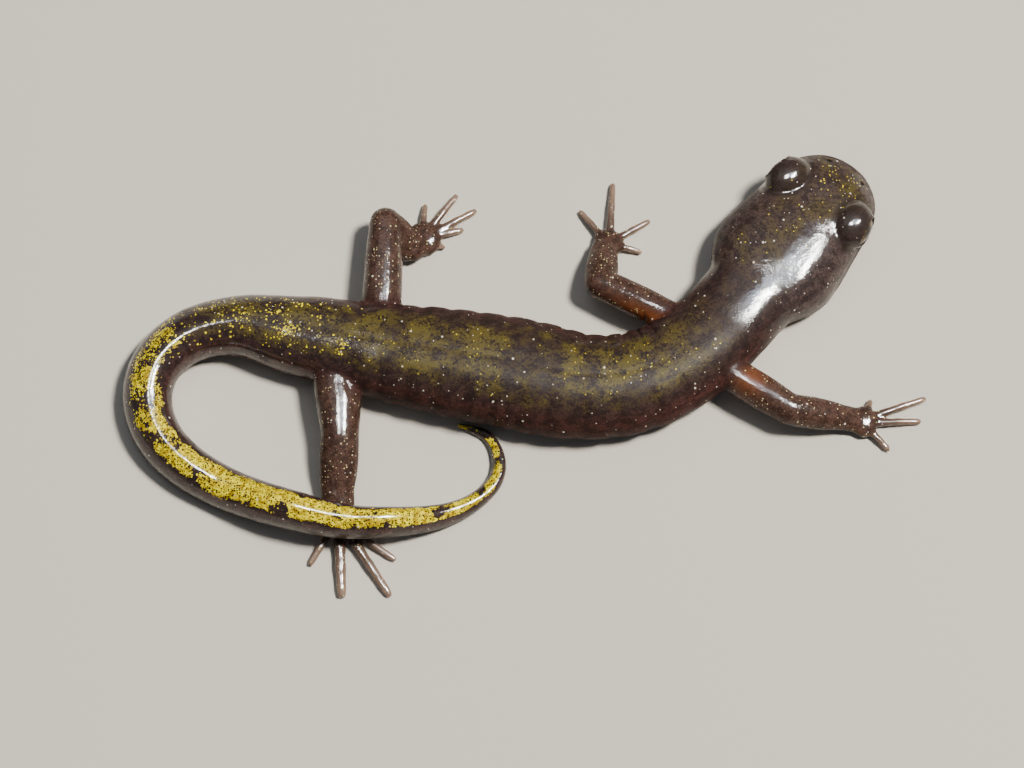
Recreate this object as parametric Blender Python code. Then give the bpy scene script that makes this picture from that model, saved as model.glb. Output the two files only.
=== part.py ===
"""A newly metamorphosed southern long-toed salamander at life size, lying curled with its tail over its
right hind foot. Every size is in millimetres, +Z is up and the floor is at z = 0. The origin is on the
floor under the middle of the trunk, with the head towards +X and +Y."""

import math

import bmesh
import bpy
from mathutils import Matrix, Vector

MM = 0.001
UP = Vector((0.0, 0.0, 1.0))

# The gap that touching pieces keep, and the parting cuts across body and limbs.
GAP = 0.3

# The line of the back in plan, from inside the head, through the neck cut, to the tip of the tail.
BODY_ROUTE = (
    (18.1, 7.6), (16.8, 6.0), (13.45, 2.3), (9.5, -0.3), (5.2, -1.0), (0.0, 0.0), (-5.2, 0.95),
    (-10.2, 1.85), (-15.0, 3.0), (-19.0, 3.95), (-22.5, 3.4), (-24.9, 1.4), (-25.65, -1.3),
    (-24.8, -4.1), (-22.6, -6.4), (-19.0, -8.4), (-15.0, -9.95), (-10.8, -10.8), (-6.8, -10.45),
    (-3.6, -9.35), (-1.6, -7.7), (-1.05, -5.9), (-1.8, -4.05), (-3.9, -3.1),
)
NECK_CUT_POINT = 1

# Girth along the body, by distance behind the neck cut: half width, and height of the back.
HALF_WIDTHS = (
    (0.0, 3.4), (3.0, 3.3), (7.0, 3.45), (13.0, 3.65), (18.0, 3.95), (24.0, 3.8), (28.0, 3.45),
    (31.0, 3.15), (35.0, 2.8), (39.0, 2.2), (43.0, 1.95), (50.0, 1.7), (57.0, 1.5), (63.0, 1.35),
    (68.0, 1.1), (72.0, 0.92), (75.0, 0.7), (78.0, 0.54), (80.5, 0.42), (82.3, 0.3), (83.6, 0.16),
)
BACK_HEIGHTS = (
    (0.0, 4.6), (4.0, 4.7), (9.0, 5.1), (18.0, 5.5), (26.0, 5.3), (33.0, 4.7), (39.0, 4.25),
    (46.0, 3.8), (54.0, 3.3), (62.0, 2.8), (70.0, 2.3), (76.0, 1.55), (80.0, 1.0), (83.6, 0.45),
)

# Where the body is parted, by distance behind the neck cut.
BODY_CUTS = (
    ("neck", 0.0), ("chest", 3.4), ("belly", 11.5), ("pelvis", 27.0), ("tail_root", 34.5),
    ("tail_upper_bend", 41.0), ("tail_bend", 46.5), ("tail_lower_bend", 52.0), ("tail_side", 57.5),
    ("tail_crossing", 63.0), ("tail_run", 70.5), ("tail_hook", 75.5), ("tail_tip", 79.3),
)

# Costal grooves on the flanks, between the fore and hind limbs.
GROOVE_COUNT = 12
FIRST_GROOVE = 8.4
LAST_GROOVE = 30.4
GROOVE_DEPTH = 0.1
GROOVE_HALF_WIDTH = 0.42
STATION_STEP = 0.5
TAIL_STATION_STEP = 0.8

# The tail: a low keel along its top, and the rise that carries it over the right hind foot.
KEEL_START = 33.0
KEEL_FULL = 42.0
LIFT_CENTRE = 66.0
LIFT_HEIGHT = 1.5
LIFT_FLAT = 2.4
LIFT_FALL = 6.5
TAIL_LEAN = ((33.0, 0.0), (44.0, 0.18), (56.0, 0.0), (74.0, 0.0), (79.0, -0.3), (83.5, -0.1))

# The section: its widest level as a share of its height on trunk and tail, how far the round
# underside would hang below the flat it rests on, and the powers that square or sharpen its curves.
WIDEST_ON_TRUNK = 0.46
WIDEST_ON_TAIL = 0.38
UNDERSIDE_SAG = 0.1
FLANK_POWER = 0.84
KEEL_POWER = 1.26
HEIGHT_POWER = 0.92
BODY_SIDES = 24
TAIL_SIDES = 16

# The head, in its own frame: along its axis from the neck cut, across to its left, and up.
HEAD_YAW = 51.5
HEAD_SHIFT = 0.12
HEAD_OUTLINE = (
    (0.0, 3.45), (1.2, 4.2), (2.7, 4.65), (4.7, 4.5), (6.8, 4.22), (8.7, 3.88), (10.3, 3.3),
    (11.4, 2.3), (12.0, 1.15), (12.18, 0.0),
)
HEAD_STATIONS = 24
SNOUT_CENTRE = 8.9
CROWN_HEIGHTS = ((0.0, 4.55), (3.0, 4.75), (6.0, 4.6), (8.5, 4.25), (10.5, 3.75), (12.1, 3.05))
MOUTH_HEIGHTS = ((0.0, 2.2), (4.0, 1.7), (6.5, 1.85), (9.0, 2.1), (12.1, 1.95))
CHIN_HEIGHTS = ((0.0, 0.2), (2.0, 0.25), (6.0, 0.35), (9.0, 0.6), (11.0, 0.95), (12.1, 1.2))
CROWN_POWER = 2.2
CHIN_POWER = 3.0
CROWN_ANGLES = (90, 76, 62, 49, 37, 26, 16, 8)
CHIN_ANGLES = (8, 18, 32, 50, 70, 90)
MOUTH_CORNER = 3.9
MOUTH_FADE = 0.8
MOUTH_DEPTH = 0.34
LIP_ANGLE = 1.9
UPPER_LIP_OUT = 0.06
UPPER_LIP_ANGLE = 12

# Eyes: a lid dome, the opening in it with a raised rim, and the ball that fills the opening.
EYE_ALONG = 8.1
EYE_ACROSS = 2.8
EYE_UP = 3.3
DOME_SIZE = (1.8, 1.45, 1.52)
OPENING_SIZE = (1.12, 0.84)
OPENING_FLOOR = 0.12
LID_RADIUS = 0.15
LID_SINK = 0.03
EYE_RADIUS = 1.45
EYE_FORWARD_TURN = 10.0
EYE_UPWARD_TURN = 8.0

NOSTRIL_PLACE = (11.35, 1.45, 3.0)
NOSTRIL_RADIUS = 0.3

# Limb joints in plan and height, with half width and half height of the limb there.
# Each runs from its root inside the body, by elbow or knee, to wrist or ankle.
LIMBS = {
    "arm_right": {
        "parts": ("upper_arm_right", "forearm_right", "forefoot_right"),
        "root": (14.6, 0.4, 2.6, 1.15, 1.2),
        "bend": (19.3, -2.6, 2.3, 1.1, 1.1),
        "end": (23.1, -2.8, 1.05, 0.92, 0.75),
        "palm": (24.6, -2.95, 1.15, 1.0),
        "toes": (
            ((24.9, -2.2), (25.2, -1.2), 0.28), ((25.3, -2.5), (29.1, -1.15), 0.31),
            ((25.4, -3.1), (28.7, -2.85), 0.31), ((25.0, -3.6), (26.4, -5.05), 0.29),
        ),
    },
    "arm_left": {
        "parts": ("upper_arm_left", "forearm_left", "forefoot_left"),
        "root": (12.0, 3.7, 2.6, 0.95, 1.1),
        "bend": (6.2, 6.7, 2.3, 1.1, 1.1),
        "end": (6.5, 9.5, 1.05, 1.0, 0.75),
        "palm": (6.9, 10.4, 1.15, 1.0),
        "toes": (
            ((7.6, 10.1), (9.3, 9.75), 0.28), ((7.4, 10.6), (9.9, 12.2), 0.3),
            ((7.0, 10.9), (7.25, 15.1), 0.31), ((6.4, 10.8), (4.8, 13.0), 0.29),
        ),
    },
    "leg_right": {
        "parts": ("thigh_right", "shin_right", "hindfoot_right"),
        "root": (-12.3, 1.4, 2.5, 1.75, 1.35),
        "bend": (-11.9, -4.4, 2.35, 1.33, 1.25),
        "end": (-12.1, -8.0, 1.15, 1.2, 0.85),
        "palm": (-11.9, -10.0, 1.3, 1.55),
        "toes": (
            ((-11.0, -10.2), (-9.4, -10.9), 0.28), ((-11.0, -11.0), (-8.0, -12.9), 0.3),
            ((-11.2, -11.2), (-8.35, -15.5), 0.38), ((-12.0, -11.2), (-11.7, -15.65), 0.44),
            ((-12.7, -10.9), (-14.0, -13.3), 0.3),
        ),
    },
    "leg_left": {
        "parts": ("thigh_left", "shin_left", "hindfoot_left"),
        "root": (-9.2, 3.2, 2.5, 1.4, 1.3),
        "bend": (-8.95, 11.1, 2.6, 1.15, 1.15),
        "end": (-7.3, 9.8, 1.1, 1.1, 0.8),
        "palm": (-6.3, 10.7, 1.3, 1.2),
        "toes": (
            ((-5.8, 10.2), (-4.7, 10.1), 0.28), ((-5.6, 10.8), (-3.4, 11.5), 0.3),
            ((-5.6, 11.1), (-2.5, 13.0), 0.32), ((-6.0, 11.4), (-3.9, 14.2), 0.32),
            ((-6.5, 11.5), (-6.2, 13.5), 0.29),
        ),
    },
}
LIMB_ROOTS_WITHIN = (-2.0, 40.0)
LIMB_SIDES = 14
LIMB_STEP = 0.9
LIMB_SWELL = 0.12
PALM_HEIGHT = 0.55
PALM_HALF_HEIGHT = 0.6
ANKLE_IN_PALM = 0.82
TOE_HEIGHT = 0.28
TOE_ROOT_HEIGHT = 0.4
TOE_ARCH = 0.12
TOE_START = 0.6
TOE_GIRTHS = ((0.0, 1.1), (0.3, 1.0), (0.6, 0.9), (0.85, 0.85), (0.97, 0.6))

# Colours of the plain solids, with roughness.
SKIN_DARK = (0.055, 0.036, 0.024, 1.0)
SKIN_STRIPE = (0.42, 0.31, 0.03, 1.0)
SKIN_LIMB = (0.10, 0.055, 0.03, 1.0)
EYE_BLACK = (0.008, 0.006, 0.005, 1.0)
WET_ROUGHNESS = 0.25
EYE_ROUGHNESS = 0.05
SHARP_EDGE_ANGLE = math.radians(40)


# A smooth value between knots given as (place, value) pairs.
def smooth_value(knots, place):
    last = len(knots) - 1
    if place <= knots[0][0]:
        return knots[0][1]
    if place >= knots[last][0]:
        return knots[last][1]
    i = max(k for k in range(last) if knots[k][0] <= place)

    def slope(k):
        low, high = knots[max(k - 1, 0)], knots[min(k + 1, last)]
        return (high[1] - low[1]) / (high[0] - low[0])

    (x0, y0), (x1, y1) = knots[i], knots[i + 1]
    width = x1 - x0
    t = (place - x0) / width
    return (
        y0 * (2 * t**3 - 3 * t**2 + 1)
        + slope(i) * width * (t**3 - 2 * t**2 + t)
        + y1 * (3 * t**2 - 2 * t**3)
        + slope(i + 1) * width * (t**3 - t**2)
    )


def ease(t):
    t = min(max(t, 0.0), 1.0)
    return t * t * (3 - 2 * t)


# A smooth curve through a few points, read by the distance along it.
class Route:
    def __init__(self, points, start=0, fine=24):
        points = [Vector(p) for p in points]
        ends = [points[0] * 2 - points[1]] + points + [points[-1] * 2 - points[-2]]
        self.fine_points = []
        for i in range(1, len(ends) - 2):
            a, b, c, d = ends[i - 1:i + 3]
            for k in range(fine):
                t = k / fine
                self.fine_points.append(0.5 * (
                    2 * b + (c - a) * t + (2 * a - 5 * b + 4 * c - d) * t**2
                    + (3 * b - a - 3 * c + d) * t**3
                ))
        self.fine_points.append(points[-1])
        self.distances = [0.0]
        for a, b in zip(self.fine_points, self.fine_points[1:]):
            self.distances.append(self.distances[-1] + (b - a).length)
        zero = self.distances[start * fine]
        self.distances = [distance - zero for distance in self.distances]
        self.length = self.distances[-1]

    def at(self, distance):
        distance = min(max(distance, self.distances[0]), self.length)
        low, high = 0, len(self.distances) - 1
        while high - low > 1:
            middle = (low + high) // 2
            if self.distances[middle] <= distance:
                low = middle
            else:
                high = middle
        span = self.distances[high] - self.distances[low]
        share = (distance - self.distances[low]) / span
        return self.fine_points[low].lerp(self.fine_points[high], share)

    def along(self, distance, reach=0.25):
        return (self.at(distance + reach) - self.at(distance - reach)).normalized()


BODY = Route([(x, y, 0.0) for x, y in BODY_ROUTE], start=NECK_CUT_POINT)


def signed_power(value, power):
    return math.copysign(abs(value) ** power, value)


def groove_at(distance):
    spacing = (LAST_GROOVE - FIRST_GROOVE) / (GROOVE_COUNT - 1)
    if not FIRST_GROOVE - spacing / 2 < distance < LAST_GROOVE + spacing / 2:
        return 0.0
    nearest = FIRST_GROOVE + round((distance - FIRST_GROOVE) / spacing) * spacing
    return max(0.0, 1 - abs(distance - nearest) / GROOVE_HALF_WIDTH)


def tail_lift(distance):
    beyond = abs(distance - LIFT_CENTRE) - LIFT_FLAT
    return LIFT_HEIGHT * (1 - ease(beyond / LIFT_FALL))


# One section of the body as (across, up) points, anticlockwise seen from behind, flat below.
def body_section(distance, sides, grow=0.0):
    half_width = smooth_value(HALF_WIDTHS, distance)
    under = tail_lift(distance)
    back = smooth_value(BACK_HEIGHTS, distance) + under
    keel = ease((distance - KEEL_START) / (KEEL_FULL - KEEL_START))
    widest = WIDEST_ON_TRUNK + (WIDEST_ON_TAIL - WIDEST_ON_TRUNK) * keel
    middle = under + widest * (back - under)
    sag = UNDERSIDE_SAG * (back - under)
    lean = smooth_value(TAIL_LEAN, distance)
    top_power = FLANK_POWER + (KEEL_POWER - FLANK_POWER) * keel
    groove = groove_at(distance) * GROOVE_DEPTH
    points = []
    for i in range(sides):
        turn = 2 * math.pi * (i + 0.5) / sides
        cosine, sine = math.cos(turn), math.sin(turn)
        if sine > 0:
            across = half_width * signed_power(cosine, top_power)
            up = middle + (back - middle) * signed_power(sine, HEIGHT_POWER)
        else:
            across = half_width * signed_power(cosine, FLANK_POWER)
            up = middle + (middle - under + sag) * signed_power(sine, HEIGHT_POWER)
        across -= math.copysign(groove * cosine**2, cosine)
        across += grow * cosine
        up = max(up + grow * sine, under - grow)
        points.append((across + lean * (up - under), up))
    return points


# Rings of points joined into a closed skin with a flat cap at each end.
def loft_faces(rings):
    count = len(rings[0])
    faces = [tuple(reversed(range(count)))]
    for ring in range(len(rings) - 1):
        for i in range(count):
            j = (i + 1) % count
            low, high = ring * count, (ring + 1) * count
            faces.append((low + i, low + j, high + j, high + i))
    last = (len(rings) - 1) * count
    faces.append(tuple(last + i for i in range(count)))
    return faces


def body_ring(distance, sides, centre=None, along=None, grow=0.0):
    centre = centre or BODY.at(distance)
    along = along or BODY.along(distance)
    side = UP.cross(along)
    return [centre + side * across + UP * up for across, up in body_section(distance, sides, grow)]


# A length of the body between two parting cuts, whose faces are parallel to those of its neighbours.
def body_rings(start, end, sides, step):
    count = max(2, math.ceil((end - start) / step))
    rings = []
    for i in range(count + 1):
        distance = start + (end - start) * i / count
        if i in (0, count) and distance < BODY.length:
            inward = GAP / 2 if i == 0 else -GAP / 2
            along = BODY.along(distance)
            rings.append(body_ring(distance, sides, BODY.at(distance) + along * inward, along))
        else:
            rings.append(body_ring(distance, sides))
    return rings


def clear_scene():
    for obj in list(bpy.data.objects):
        bpy.data.objects.remove(obj, do_unlink=True)


def make_collection(name):
    made = bpy.data.collections.new(name)
    bpy.context.scene.collection.children.link(made)
    return made


def finish_material(name, colour, roughness):
    made = bpy.data.materials.new(name)
    made.use_nodes = True
    shader = made.node_tree.nodes["Principled BSDF"]
    shader.inputs["Base Color"].default_value = colour
    shader.inputs["Roughness"].default_value = roughness
    shader.inputs["Metallic"].default_value = 0.0
    return made


def object_from_bmesh(name, shape, home):
    bmesh.ops.recalc_face_normals(shape, faces=shape.faces)
    mesh = bpy.data.meshes.new(name)
    shape.to_mesh(mesh)
    shape.free()
    obj = bpy.data.objects.new(name, mesh)
    home.objects.link(obj)
    return obj


def object_from_faces(name, points, faces, home, weld=False):
    shape = bmesh.new()
    corners = [shape.verts.new(Vector(p) * MM) for p in points]
    for face in faces:
        shape.faces.new([corners[i] for i in face])
    if weld:
        bmesh.ops.remove_doubles(shape, verts=shape.verts, dist=0.001 * MM)
    return object_from_bmesh(name, shape, home)


def object_from_rings(name, rings, home):
    return object_from_faces(name, [p for ring in rings for p in ring], loft_faces(rings), home)


def ball(name, frame, size, home, segments=20, rings=12):
    shape = bmesh.new()
    matrix = frame @ Matrix.Diagonal((*size, 1.0))
    bmesh.ops.create_uvsphere(
        shape, u_segments=segments, v_segments=rings, radius=1.0, matrix=Matrix.Scale(MM, 4) @ matrix
    )
    return object_from_bmesh(name, shape, home)


# A bar of oval section along the frame's Z, starting at the frame's origin.
def oval_bar(name, frame, size, home, depth=3.0, segments=24):
    shape = bmesh.new()
    matrix = frame @ Matrix.Translation((0, 0, depth / 2)) @ Matrix.Diagonal((*size, 1.0, 1.0))
    bmesh.ops.create_cone(
        shape, cap_ends=True, segments=segments, radius1=1.0, radius2=1.0, depth=depth,
        matrix=Matrix.Scale(MM, 4) @ matrix,
    )
    return object_from_bmesh(name, shape, home)


# The lid's rim: a thin ring that lies on the dome, round the oval opening.
def lid_rim(frame, home):
    bpy.ops.mesh.primitive_torus_add(
        major_radius=1.0, minor_radius=LID_RADIUS, major_segments=24, minor_segments=8
    )
    obj = bpy.context.object
    obj.name = "lid"
    for vertex in obj.data.vertices:
        middle = Vector((vertex.co.x, vertex.co.y, 0.0)).normalized()
        out = vertex.co - middle
        spot = Vector((middle.x * OPENING_SIZE[0], middle.y * OPENING_SIZE[1], 0.0))
        bulge = 1 - (spot.x / DOME_SIZE[0]) ** 2 - (spot.y / DOME_SIZE[1]) ** 2
        spot.z = DOME_SIZE[2] * math.sqrt(bulge) - LID_SINK
        vertex.co = (frame @ (spot + out)) * MM
    for other in list(obj.users_collection):
        other.objects.unlink(obj)
    home.objects.link(obj)
    return obj


# A round tube of changing radius as a bevelled curve, made a mesh so that it can be joined.
def tapered_tube(name, points, radii, home, resolution=2):
    curve = bpy.data.curves.new(name, "CURVE")
    curve.dimensions = "3D"
    curve.bevel_depth = MM
    curve.bevel_resolution = resolution
    curve.use_fill_caps = True
    spline = curve.splines.new("POLY")
    spline.points.add(len(points) - 1)
    for point, place, radius in zip(spline.points, points, radii):
        point.co = (*(Vector(place) * MM), 1.0)
        point.radius = radius
    guide = bpy.data.objects.new(name + "_guide", curve)
    home.objects.link(guide)
    graph = bpy.context.evaluated_depsgraph_get()
    mesh = bpy.data.meshes.new_from_object(guide.evaluated_get(graph))
    bpy.data.objects.remove(guide, do_unlink=True)
    shape = bmesh.new()
    shape.from_mesh(mesh)
    bmesh.ops.remove_doubles(shape, verts=shape.verts, dist=0.001 * MM)
    return object_from_bmesh(name, shape, home)


# A Boolean of one object with several, applied, after which the others are gone.
def combine(obj, operation, others, solver="EXACT"):
    tools = make_collection("joined_to_" + obj.name)
    for other in others:
        for place in list(other.users_collection):
            place.objects.unlink(other)
        tools.objects.link(other)
    change = obj.modifiers.new(operation.title(), "BOOLEAN")
    change.operation = operation
    change.solver = solver
    change.operand_type = "COLLECTION"
    change.collection = tools
    graph = bpy.context.evaluated_depsgraph_get()
    made = bpy.data.meshes.new_from_object(obj.evaluated_get(graph))
    obj.modifiers.clear()
    obj.data = made
    for other in others:
        bpy.data.objects.remove(other, do_unlink=True)
    bpy.data.collections.remove(tools)
    keep_largest(obj)


def keep_largest(obj):
    shape = bmesh.new()
    shape.from_mesh(obj.data)
    left = set(shape.verts)
    islands = []
    while left:
        island = set()
        front = [next(iter(left))]
        while front:
            vertex = front.pop()
            if vertex in island:
                continue
            island.add(vertex)
            front.extend(edge.other_vert(vertex) for edge in vertex.link_edges)
        left -= island
        islands.append(island)
    islands.sort(key=len)
    for island in islands[:-1]:
        bmesh.ops.delete(shape, geom=list(island), context="VERTS")
    shape.to_mesh(obj.data)
    shape.free()


# The head

def head_frame():
    yaw = math.radians(HEAD_YAW)
    turn = Matrix.Rotation(yaw, 4, "Z")
    centre = BODY.at(0.0) + turn.to_3x3() @ Vector((0.0, HEAD_SHIFT, 0.0))
    return Matrix.Translation(centre) @ turn


# Upright section of the head at one point of its outline, from crown to chin, round the mouth.
def head_column(medial, rim):
    outward = rim - medial
    mouth = ease((rim.x - MOUTH_CORNER) / MOUTH_FADE)
    level = smooth_value(MOUTH_HEIGHTS, rim.x)
    column = []

    def add(share, height, extra=0.0):
        spot = medial + outward * share + outward.normalized() * extra
        column.append((spot.x, spot.y, height))

    for angle in CROWN_ANGLES + (LIP_ANGLE,):
        turn = math.radians(angle)
        share = max(0.0, math.cos(turn)) ** (2 / CROWN_POWER)
        if angle == 90:
            share = 0.0
        crown = smooth_value(CROWN_HEIGHTS, medial.x + outward.x * share)
        lip = UPPER_LIP_OUT * mouth if angle < UPPER_LIP_ANGLE else 0.0
        add(share, level + (crown - level) * math.sin(turn) ** (2 / CROWN_POWER), lip)
    add(1.0, level, -MOUTH_DEPTH * mouth)
    for angle in (LIP_ANGLE,) + CHIN_ANGLES:
        turn = math.radians(angle)
        share = max(0.0, math.cos(turn)) ** (2 / CHIN_POWER)
        if angle == 90:
            share = 0.0
        chin = smooth_value(CHIN_HEIGHTS, medial.x + outward.x * share)
        add(share, level - (level - chin) * math.sin(turn) ** (2 / CHIN_POWER))
    return column


def head_shell(home, frame):
    outline = Route([(x, y, 0.0) for x, y in HEAD_OUTLINE])
    half = [outline.at(outline.length * i / HEAD_STATIONS) for i in range(HEAD_STATIONS + 1)]
    left = [Vector((p.x, p.y)) for p in half]
    left[0].x = GAP / 2
    right = [Vector((p.x, -p.y)) for p in reversed(left[:-1])]
    columns = []
    for rim in left + right:
        medial = Vector((min(rim.x, SNOUT_CENTRE), 0.0))
        columns.append(head_column(medial, rim))
    count = len(columns[0])
    points = [frame @ Vector(p) for column in columns for p in column]
    faces = []
    for i in range(len(columns) - 1):
        for k in range(count - 1):
            a = i * count + k
            faces.append((a, a + 1, a + count + 1, a + count))
    last = (len(columns) - 1) * count
    faces.append(tuple(range(count)) + tuple(last + k for k in range(count - 2, 0, -1)))
    return object_from_faces("head", points, faces, home, weld=True)


# The frame of one eye: Z looks out through the opening, X runs forward and Y up.
def eye_frame(frame, side):
    forward = math.radians(EYE_FORWARD_TURN)
    upward = math.radians(EYE_UPWARD_TURN)
    out = Vector((
        math.sin(forward) * math.cos(upward),
        side * math.cos(forward) * math.cos(upward),
        math.sin(upward),
    ))
    ahead = Vector((1, 0, 0))
    ahead = (ahead - out * ahead.dot(out)).normalized()
    over = out.cross(ahead)
    turn = Matrix((ahead, over, out)).transposed().to_4x4()
    centre = Matrix.Translation((EYE_ALONG, side * EYE_ACROSS, EYE_UP))
    return frame @ centre @ turn


def make_head(home, helpers):
    frame = head_frame()
    head = head_shell(home, frame)
    raised = []
    holes = []
    for side in (1, -1):
        eye = eye_frame(frame, side)
        raised.append(ball("dome", eye, DOME_SIZE, helpers, 24, 16))
        raised.append(lid_rim(eye, helpers))
        pocket = eye @ Matrix.Translation((0, 0, OPENING_FLOOR))
        holes.append(oval_bar("opening", pocket, OPENING_SIZE, helpers))
        nostril = Vector(NOSTRIL_PLACE)
        nostril.y *= side
        pit = frame @ Matrix.Translation(nostril)
        holes.append(ball("nostril", pit, (NOSTRIL_RADIUS,) * 3, helpers, 10, 6))
        ball_cut = (OPENING_SIZE[0] - GAP, OPENING_SIZE[1] - GAP)
        name = "eye_left" if side > 0 else "eye_right"
        made = ball(name, eye, (EYE_RADIUS,) * 3, home, 24, 16)
        seat = eye @ Matrix.Translation((0, 0, OPENING_FLOOR + GAP))
        combine(made, "INTERSECT", [oval_bar("core", seat, ball_cut, helpers)])
    combine(head, "UNION", raised, "MANIFOLD")
    combine(head, "DIFFERENCE", holes, "MANIFOLD")


# The body and tail

def make_body(home):
    ends = [distance for _, distance in BODY_CUTS[1:]] + [BODY.length]
    for (name, start), end in zip(BODY_CUTS, ends):
        tail = name.startswith("tail")
        sides = TAIL_SIDES if tail else BODY_SIDES
        step = TAIL_STATION_STEP if tail else STATION_STEP
        object_from_rings(name, body_rings(start, end, sides, step), home)


def body_cutter(start, end, home):
    count = math.ceil((end - start) / STATION_STEP)
    rings = [
        body_ring(start + (end - start) * i / count, BODY_SIDES, grow=GAP) for i in range(count + 1)
    ]
    return object_from_rings("body_clearance", rings, home)


# Limbs

def limb_ring(centre, along, half_width, half_height):
    side = UP.cross(along).normalized()
    lift = along.cross(side)
    ring = []
    for i in range(LIMB_SIDES):
        turn = 2 * math.pi * i / LIMB_SIDES
        ring.append(centre + side * half_width * math.cos(turn) + lift * half_height * math.sin(turn))
    return ring


# One straight limb segment from a to b, whose end faces stand across the given directions.
def limb_rings(a, b, start_facing, end_facing):
    start, end = Vector(a[:3]), Vector(b[:3])
    count = max(3, math.ceil((end - start).length / LIMB_STEP))
    rings = []
    for i in range(count + 1):
        share = i / count
        facing = start_facing.lerp(end_facing, share).normalized()
        swell = LIMB_SWELL * math.sin(math.pi * share)
        half_width = a[3] + (b[3] - a[3]) * share + swell
        half_height = a[4] + (b[4] - a[4]) * share + swell
        rings.append(limb_ring(start.lerp(end, share), facing, half_width, half_height))
    return rings


# A block whose top face is the floor, which gives each foot its flats.
def below_floor(home, width=100.0, depth=10.0):
    shape = bmesh.new()
    size = Matrix.Diagonal((width, width, depth, 1.0))
    bmesh.ops.create_cube(
        shape, size=1.0, matrix=Matrix.Scale(MM, 4) @ Matrix.Translation((0, 0, -depth / 2)) @ size
    )
    return object_from_bmesh("below_floor", shape, home)


def make_limb(plan, home, helpers):
    root, bend, end = plan["root"], plan["bend"], plan["end"]
    upper_name, lower_name, foot_name = plan["parts"]
    root_at, bend_at, end_at = (Vector(joint[:3]) for joint in (root, bend, end))
    upper_way = (bend_at - root_at).normalized()
    lower_way = (end_at - bend_at).normalized()
    palm_x, palm_y, palm_across, palm_along = plan["palm"]
    palm_at = Vector((palm_x, palm_y, PALM_HEIGHT))
    foot_way = (palm_at - end_at).normalized()
    at_bend = (upper_way + lower_way).normalized()
    at_end = (lower_way + foot_way).normalized()

    def shifted(joint, way):
        return (*(Vector(joint[:3]) + way * GAP / 2), *joint[3:])

    upper = object_from_rings(
        upper_name, limb_rings(root, shifted(bend, -at_bend), upper_way, at_bend), home
    )
    object_from_rings(
        lower_name, limb_rings(shifted(bend, at_bend), shifted(end, -at_end), at_bend, at_end), home
    )
    combine(upper, "DIFFERENCE", [body_cutter(*LIMB_ROOTS_WITHIN, helpers)])

    palm_ring = (*palm_at, palm_across * ANKLE_IN_PALM, PALM_HALF_HEIGHT * ANKLE_IN_PALM)
    foot = object_from_rings(
        foot_name, limb_rings(shifted(end, at_end), palm_ring, at_end, foot_way), home
    )
    heading = math.atan2(foot_way.y, foot_way.x)
    palm_frame = Matrix.Translation(palm_at) @ Matrix.Rotation(heading, 4, "Z")
    pieces = [ball("palm", palm_frame, (palm_along, palm_across, PALM_HALF_HEIGHT), helpers, 16, 8)]
    for toe_root, toe_tip, radius in plan["toes"]:
        start = palm_at.lerp(Vector((*toe_root, TOE_ROOT_HEIGHT)), TOE_START)
        tip = Vector((*toe_tip, TOE_HEIGHT))
        points = []
        radii = []
        for share, girth in TOE_GIRTHS:
            arch = TOE_ARCH * math.sin(math.pi * share)
            points.append(start.lerp(tip, share) + UP * arch)
            radii.append(radius * girth)
        pieces.append(tapered_tube("toe", points, radii, helpers))
    combine(foot, "UNION", pieces, "MANIFOLD")
    combine(foot, "DIFFERENCE", [below_floor(helpers)], "MANIFOLD")


def material_for(name, skins):
    if name.startswith("eye"):
        return skins["eye"]
    if name.startswith("tail"):
        return skins["stripe"]
    if name in ("head", "neck", "chest", "belly", "pelvis"):
        return skins["dark"]
    return skins["limb"]


def main():
    clear_scene()
    home = make_collection("southern_long_toed_salamander")
    helpers = make_collection("helpers")
    make_head(home, helpers)
    make_body(home)
    for plan in LIMBS.values():
        make_limb(plan, home, helpers)
    skins = {
        "dark": finish_material("wet_dark_skin", SKIN_DARK, WET_ROUGHNESS),
        "stripe": finish_material("wet_yellow_stripe", SKIN_STRIPE, WET_ROUGHNESS),
        "limb": finish_material("wet_limb_skin", SKIN_LIMB, WET_ROUGHNESS),
        "eye": finish_material("eye_black", EYE_BLACK, EYE_ROUGHNESS),
    }
    for obj in home.objects:
        obj.data.materials.clear()
        obj.data.materials.append(material_for(obj.name, skins))
        obj.data.shade_smooth()
        obj.data.set_sharp_from_angle(angle=SHARP_EDGE_ANGLE)


main()
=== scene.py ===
import math

import bmesh
import bpy
import numpy as np
from mathutils import Matrix, Vector, kdtree, noise


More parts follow.
